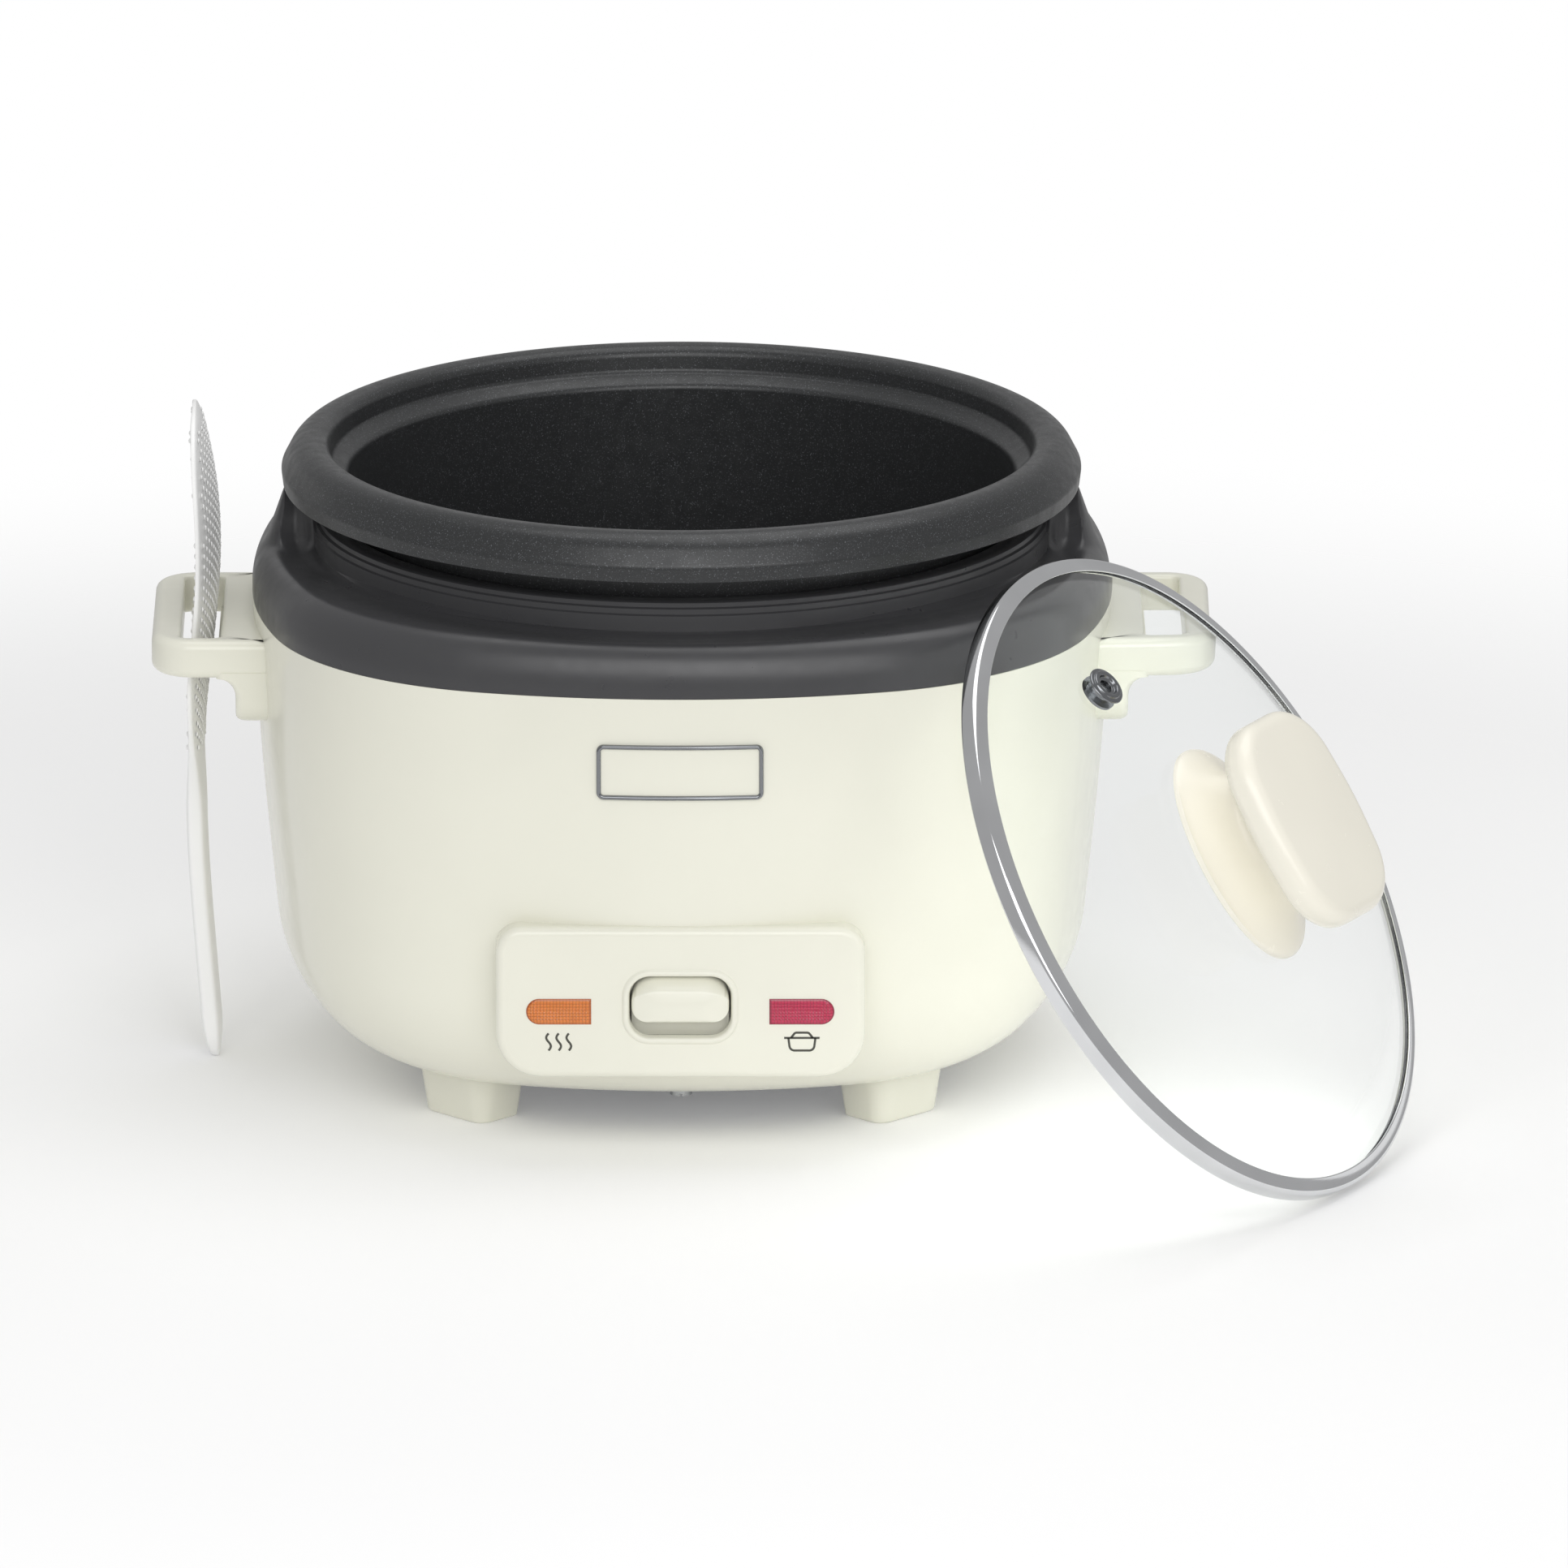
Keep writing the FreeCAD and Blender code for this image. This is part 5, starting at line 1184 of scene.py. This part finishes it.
@dataclass
class Handle:
    """A side handle: a slotted plate and the leg under it that lies on the wall."""

    shell: Shell
    side: Side
    reach: float = 164.3
    half: float = 43.0
    top: float = 145.0
    thick: float = 12.0
    corner: float = 13.0
    edge: float = 3.0
    leg_drop: float = 15.0
    leg_thick: float = 5.5
    slot_x: float = 149.1
    slot_wide: float = 12.4
    slot_half: float = 36.7
    slot_round: float = 2.5
    leg_round: float = 8.0
    leg_corner: float = 2.2
    leg_lap: float = 2.0
    toe: float = 1.6
    toe_tall: float = 3.0
    fillet: float = 6.0
    root: float = 8.0
    root_corner: float = 0.5
    sunk: float = 0.8

    def build(self) -> None:
        """Make the handle on its side."""
        turn = 0.0 if self.side is Side.RIGHT else math.pi
        spin = Matrix.Rotation(turn, 4, "Z")
        patches = [Patch(placed(self.plate(), spin), close_rows=True), Patch(placed(self.leg(), spin))]
        node = f"handle_{self.side.name.lower()}"
        piece(node + "_grip", patches, [CREAM], Body.BASE, [node])

    def laid(self, rows: Rows) -> Array:
        """Rings stacked up, with their inner side laid on the wall and a little into it."""
        grid = stacked(rows)
        wall = self.shell.reach(grid[..., 1], grid[..., 2]) - self.sunk
        grid[..., 0] = np.maximum(grid[..., 0], wall)
        return grid

    def plate(self) -> Array:
        """The plate: rings round its edge, over its top, down the slot and back under."""
        low_z = self.top - self.thick
        radii = (self.root_corner, self.corner, self.corner, self.root_corner)
        inner = self.shell.half_width - self.root - 1.0
        box = RoundedBox((inner, -self.half), (self.reach, self.half), radii)
        slot = RoundedBox.around((self.slot_x, 0.0), (self.slot_wide / 2, self.slot_half), self.slot_round)
        bends = [(-1.4, 0.0), (-0.7, 0.12), (-0.2, 0.5), (0.0, 1.3)]
        lip = [(slot.ring(grow, run=12), off) for grow, off in bends]
        rows = box.rolled(self.edge, self.top, -1, 12) + [(ring, self.top - off) for ring, off in lip]
        rows += [(ring, low_z + off) for ring, off in lip[::-1]] + box.rolled(self.edge, low_z, 1, 12)[::-1]
        return self.laid(rows)

    def leg(self) -> Array:
        """The leg: level sections from its round-cornered foot up to a fillet under the plate.

        A section's width follows the foot's quarter round, and its outer side the fillet's.
        """
        low_z = self.top - self.thick
        foot = low_z - self.leg_drop
        arc = np.linspace(0, QUARTER, 9)
        start = foot + self.leg_round * (1 - np.cos(arc))
        straight = np.linspace(start[-1], low_z - self.fillet, 4)[1:]
        end = low_z - self.fillet * (1 - np.sin(arc[1:]))
        levels = np.concatenate([start, straight, end, [low_z + self.leg_lap]])
        radii = (self.root_corner, self.leg_corner, self.leg_corner, self.root_corner)
        rows = []
        wall_x = float(self.shell.reach(0.0, low_z))
        for z in levels:
            drop = max(self.leg_round - (z - foot), 0.0)
            half = self.half - self.leg_round + math.sqrt(self.leg_round ** 2 - drop ** 2)
            climb = min(max(z - (low_z - self.fillet), 0.0), self.fillet)
            out = wall_x + self.leg_thick + self.fillet - math.sqrt(self.fillet ** 2 - climb ** 2)
            toe = self.toe * max(0.0, 1 - (z - foot) / self.toe_tall) ** 2
            box = RoundedBox((wall_x - self.root, -half), (out - toe, half), radii)
            rows.append((box.ring(run=12), z))
        ends = [to_point(ring, ring.mean(0), 1)[0] for ring in (rows[0][0], rows[-1][0])]
        return self.laid([(ends[0], foot)] + rows + [(ends[1], levels[-1])])


@dataclass
class Lid:
    """The glass lid on edge against the right handle: glass, steel band, vent and grip, in its own frame."""

    handle: Handle
    radius: float = 106.5
    band_tall: float = 5.7
    band_lip: float = 5.0
    band_bend: float = 1.0
    band_rise: float = 0.15
    lip_stand: Pair = (0.05, 0.75)
    glass: float = 4.0
    glass_low: float = 0.9
    glass_in: float = 1.3
    sag: float = 18.0
    vent_circle: float = 66.0
    vent_turn: float = 13.0
    vent_hole: float = 4.4
    turn: float = 63.1
    lean: float = 31.3
    hold: float = 1.85
    stand: float = 0.2
    grip_long: float = 68.0
    grip_wide: float = 54.0
    grip_thick: float = 13.0
    grip_rise: float = 18.0
    grip_round: float = 4.4
    grip_corner: float = 0.72
    grip_lift: float = 2.0
    grip_crown: float = 0.9
    grip_bow: float = 90.0
    foot_long: float = 71.0
    foot_wide: float = 50.0
    foot_flare: float = 12.0
    foot_rim: tuple[Pair, ...] = ((0.0, 0.985), (0.35, 1.0), (1.2, 1.0), (2.0, 0.99))
    waist: Pair = (0.6, 0.4)
    gap: float = 0.3
    snug: float = 0.15
    place: Matrix = field(init=False)

    def __post_init__(self) -> None:
        """Work out where the lid leans."""
        self.place = self.leaning()
        self.edge = self.radius - self.glass_in
        self.dome = (self.edge ** 2 + self.sag ** 2) / (2 * self.sag)
        self.apex = self.glass_low + self.glass + self.sag

    def leaning(self) -> Matrix:
        """The lid's frame: its band on the worktop, its underside on the handle's round front corner."""
        turn, lean = math.radians(self.turn), math.radians(self.lean)
        level = Vector((math.sin(turn), -math.cos(turn), 0))
        along = Vector((math.cos(turn), math.sin(turn), 0))
        axis = Vector((0, 0, 1))
        normal = level * math.cos(lean) + axis * math.sin(lean)
        up = axis * math.cos(lean) - level * math.sin(lean)
        height = self.radius * math.cos(lean) + self.stand
        h = self.handle
        corner = Vector((h.reach - h.corner, -h.half + h.corner, h.top))
        plane = normal.dot(corner) + h.corner * math.cos(lean) + self.gap
        out = (plane - height * math.sin(lean)) / math.cos(lean)
        held = corner + level * h.corner
        climb = (h.top - height) / math.cos(lean)
        slide = math.sqrt((self.radius - self.hold) ** 2 - climb ** 2)
        centre = level * out + along * (held.dot(along) - slide) + axis * height
        side = normal.cross(up)
        return Matrix.Translation(centre) @ Matrix((up, side, normal)).transposed().to_4x4()

    def dome_z(self, radius: object) -> Array:
        """The glass's top at a radius: a sphere's cap under the apex."""
        return self.apex - self.dome + np.sqrt(self.dome ** 2 - np.asarray(radius) ** 2)

    def build(self) -> None:
        """Make the lid's pieces."""
        self.build_glass()
        self.build_band()
        self.build_vent()
        self.build_grip()

    def add(
        self, name: str, grids: Sequence[Array], closed: bool, finish: Finish, slot: str, node: str
    ) -> None:
        """Put grids of one lid piece in their place and make the piece.

        Args:
            name: The piece's name.
            grids: Its surfaces in the lid's frame.
            closed: Whether their rows close.
            finish: Its finish.
            slot: Its material slot; not used.
            node: The solid it stands for.
        """
        patches = [Patch(placed(grid, self.place), close_rows=closed) for grid in grids]
        piece(name, patches, [finish], Body.LID, [node])

    def build_glass(self) -> None:
        """The domed glass: its top and its underside, one glass thickness lower."""
        r = self.edge * np.sin(np.linspace(0, QUARTER, 40))
        top = np.stack([r, self.dome_z(r)], 1)
        line = np.concatenate([top, (top - np.array([0, self.glass]))[::-1]])
        self.add("lid_dome", [spun(line, 200)], False, GLASS, "glass", "lid_glass")

    def build_band(self) -> None:
        """The steel channel round the glass's edge, with a rolled lip on the glass."""
        out, inner = self.radius, self.edge + self.snug
        lip = out - self.band_lip
        rise = (self.edge - lip) * self.edge / self.dome
        low, high = self.glass_low - self.snug, self.glass_low + self.glass + self.snug
        bend = inner - self.band_bend
        near, far = self.lip_stand
        bends = [
            (lip, low + rise - far, 0.3),
            (bend, 0.0, 0),
            (out, 0.0, 0.8),
            (out, self.band_tall, 1.6),
            (bend, self.band_tall + self.band_rise, 0),
            (lip, high + rise + far, 0.3),
            (lip, high + rise + near, 0),
            (inner, high, 0),
            (inner, low, 0),
            (lip, low + rise - near, 0),
        ]
        grid = spun(rounded(bends, steps=7), 240)
        self.add("lid_rim", [grid], True, BAND_STEEL, "polished_steel", "lid_band")

    def build_vent(self) -> None:
        """The rolled eyelet, turned and set square on the glass."""
        deep = -self.glass
        hole = self.vent_hole - self.snug
        bends = [
            (2.2, deep - 1.2, 0),
            (6.0, deep - 1.2, 0),
            (6.0, deep - 0.35, 0),
            (hole, deep - 0.35, 0),
            (hole, 0.35, 0),
            (6.4, 0.35, 0.3),
            (6.4, 1.1, 0.5),
            (5.2, 1.3, 0.2),
            (4.9, 1.9, 0.5),
            (3.6, 1.9, 0.5),
            (3.2, 0.9, 0.3),
            (2.2, 0.7, 0.2),
        ]
        line = rounded(bends, steps=5)
        tilt = Matrix.Rotation(math.asin(self.vent_circle / self.dome), 4, "Y")
        lift = Matrix.Translation((self.vent_circle, 0, float(self.dome_z(self.vent_circle))))
        spin = Matrix.Rotation(math.radians(self.vent_turn), 4, "Z")
        grid = placed(spun(line, 48), spin @ lift @ tilt)
        # The eyelet's metal is darkened: painted dark reflection.
        self.add("vent_eyelet", [grid], True, TRIM_DARK_REFLECTION, "polished_steel", "steam_vent")

    def build_grip(self) -> None:
        """The grip: a dished oval foot that narrows to a waist, and a bowed plate on top.

        The foot's ovals narrow by the square of one less a power of the height, and the plate's rings are
        its outline drawn in round both rims and shrunk to a low crown.
        """
        foot_z = self.apex + self.snug
        turn = np.linspace(0, 2 * np.pi, 96, endpoint=False)
        oval = np.stack([self.foot_long / 2 * np.cos(turn), self.foot_wide / 2 * np.sin(turn)], 1)
        seat = self.dome_z(np.linalg.norm(oval, axis=1)) + self.snug
        rows = [(np.zeros_like(oval), self.dome_z(0.0) + self.snug)]
        rows += [(oval * pull, seat + off) for off, pull in self.foot_rim]
        brow = rows[-1][1]
        for rise in np.linspace(0.8, self.grip_rise + 2, 30):
            share = (1 - min(rise / self.foot_flare, 1.0) ** 1.2) ** 2
            thin = np.array([low + (1 - low) * share for low in self.waist])
            rows.append((oval * thin, np.maximum(foot_z + rise, brow)))
        grids = [stacked(rows), self.deck(foot_z + self.grip_rise)]
        # The grip takes the lighter copy of the cream plastic: painted light.
        self.add("lid_grip", grids, False, CREAM_LIT, "cream_plastic", "lid_handle")

    def deck(self, low: float) -> Array:
        """The grip's top plate.

        Args:
            low: The height of its underside in the lid's frame.

        Returns:
            Its surface as one grid.
        """
        a, b = self.grip_long / 2, self.grip_wide / 2
        corner = min(a, b) * self.grip_corner
        half = [(-a, -b + 2.5, corner), (0.0, -b - 1.0, self.grip_bow), (a, -b + 2.5, corner)]
        line = rounded(half + [(-x, -y, r) for x, y, r in half], steps=16)
        line = split(np.concatenate([line, line[:1]]), 3.0)[:-1]
        inward = -normals(line, closed=True)
        high = low + self.grip_thick
        low += self.grip_lift
        r = self.grip_round
        middle = np.zeros(2)
        arc = np.linspace(0, QUARTER, 8)
        under = [(line + inward * r * (1 - math.sin(t)), low + r * (1 - math.cos(t))) for t in arc]
        over = [(line + inward * r * (1 - math.cos(t)), high - r * (1 - math.sin(t))) for t in arc]
        rows = [(ring, low) for ring in to_point(under[0][0], middle, 1)] + under + over
        flat, steps = over[-1][0], 10
        for k, ring in enumerate(to_point(flat, middle, steps), 1):
            rows.append((ring, high + self.grip_crown * (1 - (1 - k / steps) ** 2)))
        return stacked(rows)


@dataclass
class Paddle:
    """The paddle on edge in the left handle's slot: a dished blade with raised dots, and a plain grip."""

    handle: Handle
    shift: float = -1.0
    long: float = 210.0
    wide: float = 64.0
    thick: float = 2.6
    grip_wide: float = 22.0
    grip_thick: float = 6.4
    dish: float = 5.0
    lift: float = 0.3
    dot_pitch: float = 3.4
    dot_radius: float = 0.85
    dot_high: float = 0.5
    dot_dome: tuple[Pair, ...] = ((1.0, -0.15), (0.8, 0.6), (0.0, 1.0))
    dots_from: float = 104.0
    dots_short: float = 6.0
    dots_margin: float = 2.4
    neck: float = 76.0
    neck_long: float = 60.0
    crown: float = 46.0
    heel: float = 8.0
    thin_from: float = 80.0
    thin_long: float = 34.0
    toe: float = 14.0
    brim: float = 5.0
    places: tuple[float, ...] = (0, 20, 45, 75, 105, 135, 165, 190, 210)
    bows: tuple[float, ...] = (4.4, 2.6, 0.6, -0.8, -0.4, 3.0, 5.0, 3.2, -1.2)

    def bow(self, y: Array, z: Array) -> Array:
        """How far the sheet's middle stands sideways at a place across and a height.

        A smooth curve fitted to places listed along the height, less the dish, which grows by the
        square of the distance from the middle and is full at the blade's edge.
        """
        line = np.polynomial.Polynomial.fit(self.places, self.bows, 7)
        return line(z) - self.dish * (y / (self.wide / 2)) ** 2

    def half_wide(self, z: Array) -> Array:
        """Half the width at a height: a narrow grip, a smooth step out to the blade, and two round ends."""
        stem, blade = self.grip_wide / 2, self.wide / 2
        width = stem * (0.8 + 0.2 * np.clip(z / self.neck, 0, 1))
        width = width + (blade - stem) * smooth((z - self.neck) / self.neck_long)
        tip = np.clip((z - (self.long - self.crown)) / self.crown, 0, 1)
        end = np.clip((self.heel - z) / self.heel, 0, 1)
        return width * (1 - tip ** 2.6) ** (1 / 2.2) * np.sqrt(1 - 0.9 * end ** 2)

    def half_thick(self, z: Array) -> Array:
        """Half the thickness at a height: full in the grip, thin in the blade and at both ends."""
        thin, full = self.thick / 2, self.grip_thick / 2
        body = full - (full - thin) * smooth((z - self.thin_from) / self.thin_long)
        low = np.clip((self.toe - z) / self.toe, 0, 1)
        top = np.clip((z - self.long + self.brim) / self.brim, 0, 1)
        return body * (1 - 0.65 * low ** 2) * (1 - 0.6 * top ** 2)

    def build(self) -> None:
        """Make the paddle and its dots as one piece."""
        z = self.long * (1 - np.cos(np.linspace(0, np.pi, 150))) / 2
        turn = np.linspace(0, 2 * np.pi, 56, endpoint=False)
        c, s = np.cos(turn), np.sin(turn)
        y = self.half_wide(z)[:, None] * np.sign(c) * np.abs(c) ** 0.7
        level = np.broadcast_to(z[:, None], y.shape)
        x = self.half_thick(level) * np.sign(s) * np.abs(s) ** 0.4 + self.bow(y, level)
        grids = [capped(np.stack([x, y, level], -1))] + self.dots(-1) + self.dots(1)
        place = Matrix.Translation((-self.handle.slot_x + self.shift, 0, self.lift))
        patches = [Patch(placed(grid, place)) for grid in grids]
        node = ["rice_paddle"]
        piece("paddle_blade", patches, [PADDLE_WHITE], Body.PADDLE, node, sharp=50.0)

    def dots(self, face: int) -> list[Array]:
        """The dots on one face: small domes in upright columns, every second one half a step higher.

        Args:
            face: -1 or 1 for the blade's two faces.

        Returns:
            One small grid a dot.
        """
        step, narrow = self.dot_pitch, math.sin(math.pi / 3)
        last = int(self.wide / 2 / (step * narrow))
        column = np.arange(-last, last + 1)
        rows = np.arange(self.dots_from, self.long - self.dots_short, step)
        z = rows[:, None] + step / 2 * (column[None] % 2)
        y = np.broadcast_to(column[None] * step * narrow, z.shape)
        keep = np.abs(y) < self.half_wide(z) - self.dots_margin
        y, z = y[keep], z[keep]
        turn = np.linspace(0, 2 * np.pi, 8, endpoint=False)
        wide, high = np.array(self.dot_dome).T[..., None]
        wide, high = wide * self.dot_radius, face * high * self.dot_high
        dome = np.stack(np.broadcast_arrays(high, wide * np.cos(turn), wide * np.sin(turn)), -1)
        centres = np.stack([self.bow(y, z) + face * self.half_thick(z), y, z], 1)
        return list(dome[None] + centres[:, None, None, :])


# Studio


@dataclass
class Studio:
    """Floor, backdrop light, lamps and the camera at the photograph's angle."""

    image: float = 1932.0
    scale: float = 3.95
    axis_pixel: float = 840.0
    aim_height: float = 87.5
    elevation: float = 15.6
    lens: float = 600.0
    sensor: float = 36.0
    floor_clear: float = 0.42
    floor_end: float = 0.75
    floor_glow: float = 0.12
    floor_tones: Pair = (0.9, 0.92)
    ambient: float = 0.46
    sheen: float = 0.5

    def build(self) -> None:
        """Set up everything that isn't the object."""
        bpy.context.scene.view_settings.view_transform = "Standard"
        self.floor()
        self.world()
        self.lamps()
        self.camera()

    def floor(self) -> None:
        """A pale floor that keeps shadows and fades to the white backdrop all round."""
        mesh = bpy.data.meshes.new("studio_floor")
        half = self.floor_end * 1.1
        corners = [(x * half, y * half, 0) for x, y in ((-1, -1), (1, -1), (1, 1), (-1, 1))]
        mesh.from_pydata(corners, [], [(0, 1, 2, 3)])
        floor = show("studio_floor", mesh)
        shade = Shader("floor_white")
        tones = [(place, (tone,) * 3 + (1.0,)) for place, tone in zip(MIDDLE, self.floor_tones)]
        shade.colour(shade.ramp(shade.noise(3.0, 1.0), tones))
        shade.set(Roughness=0.9, Specular_IOR_Level=0.0)
        shade.set(Emission_Color=WHITE, Emission_Strength=self.floor_glow)
        far = shade.add("ShaderNodeVectorMath", Vector=shade.place)
        far.operation = "LENGTH"
        ends = {"From_Min": self.floor_clear, "From_Max": self.floor_end}
        fade = shade.add("ShaderNodeMapRange", Value=far.outputs["Value"], **ends)
        fade.interpolation_type = "SMOOTHSTEP"
        shade.cover(fade.outputs["Result"], shade.add("ShaderNodeBsdfTransparent"))
        mesh.materials.append(shade.material)

    def world(self) -> None:
        """White where the camera sees it, straight or through glass, and plain soft light elsewhere."""
        world = bpy.data.worlds.new("studio_light")
        bpy.context.scene.world = world
        world.use_nodes = True
        tree = world.node_tree
        tree.nodes.clear()
        path = add_node(tree, "ShaderNodeLightPath")
        seen = add_node(tree, "ShaderNodeMath")
        seen.operation = "MAXIMUM"
        for slot, ray in enumerate(("Is Camera Ray", "Is Transmission Ray")):
            tree.links.new(path.outputs[ray], seen.inputs[slot])
        mix = add_node(tree, "ShaderNodeMixShader", Fac=seen.outputs["Value"])
        for slot, strength in enumerate((self.ambient, 1.0), 1):
            light = add_node(tree, "ShaderNodeBackground", Color=WHITE, Strength=strength)
            tree.links.new(light.outputs["Background"], mix.inputs[slot])
        add_node(tree, "ShaderNodeOutputWorld", Surface=mix.outputs["Shader"])

    def lamps(self) -> None:
        """Two large soft lamps high in front, one at each side, and one overhead."""
        aim = Vector((0.0, 0.0, 0.1))
        kinds = [
            ("key_lamp", (-0.3, -1.8, 1.1), 1.1, 8.6),
            ("fill_lamp", (0.6, -1.8, 1.0), 1.1, 8.6),
            ("top_lamp", (0.2, 0.2, 1.7), 1.4, 9.0),
        ]
        for name, place, size, power in kinds:
            data = bpy.data.lights.new(name, "AREA")
            data.shape = "SQUARE"
            data.size = size
            data.energy = power
            data.specular_factor = self.sheen
            self.point(show(name, data), Vector(place), aim)

    def camera(self) -> None:
        """A long lens whose frame is the photograph's, at its scale, raised by the elevation."""
        data = bpy.data.cameras.new("photo_camera")
        data.lens = self.lens
        data.sensor_width = self.sensor
        wide = self.image / self.scale * MM
        away = wide * self.lens / self.sensor
        side = (self.image / 2 - self.axis_pixel) / self.scale * MM
        aim = Vector((side, 0.0, self.aim_height * MM))
        rise = math.radians(self.elevation)
        camera = show("photo_camera", data)
        self.point(camera, aim + away * Vector((0, -math.cos(rise), math.sin(rise))), aim)
        bpy.context.scene.camera = camera

    def point(self, made: bpy.types.Object, place: Vector, aim: Vector) -> None:
        """Put a lamp or a camera at a place and turn it to what it is aimed at."""
        made.location = place
        made.rotation_euler = (aim - place).to_track_quat("-Z", "Y").to_euler()


def dress_solids() -> None:
    """Give every solid that still shows the finish of its material slot."""
    slots = {entry["node"]: entry["material_slot"] for entry in frame["record"]["subparts"]}
    for node, solid in frame["nodes"].items():
        finish = SLOT_FINISH[slots[node]].make()
        solid.data.materials.clear()
        solid.data.materials.append(finish)


def main() -> None:
    """Build every sub-assembly in order, then the studio."""
    logging.basicConfig(level=logging.INFO, format="%(message)s")
    dress_solids()
    shell = Shell()
    right, left = Handle(shell, Side.RIGHT), Handle(shell, Side.LEFT)
    parts = [shell, Collar(shell), Pot(), Panel(shell), right, left, Lid(right), Paddle(left)]
    for part in parts:
        part.build()
    Studio().build()


if __name__ == "__main__":
    main()
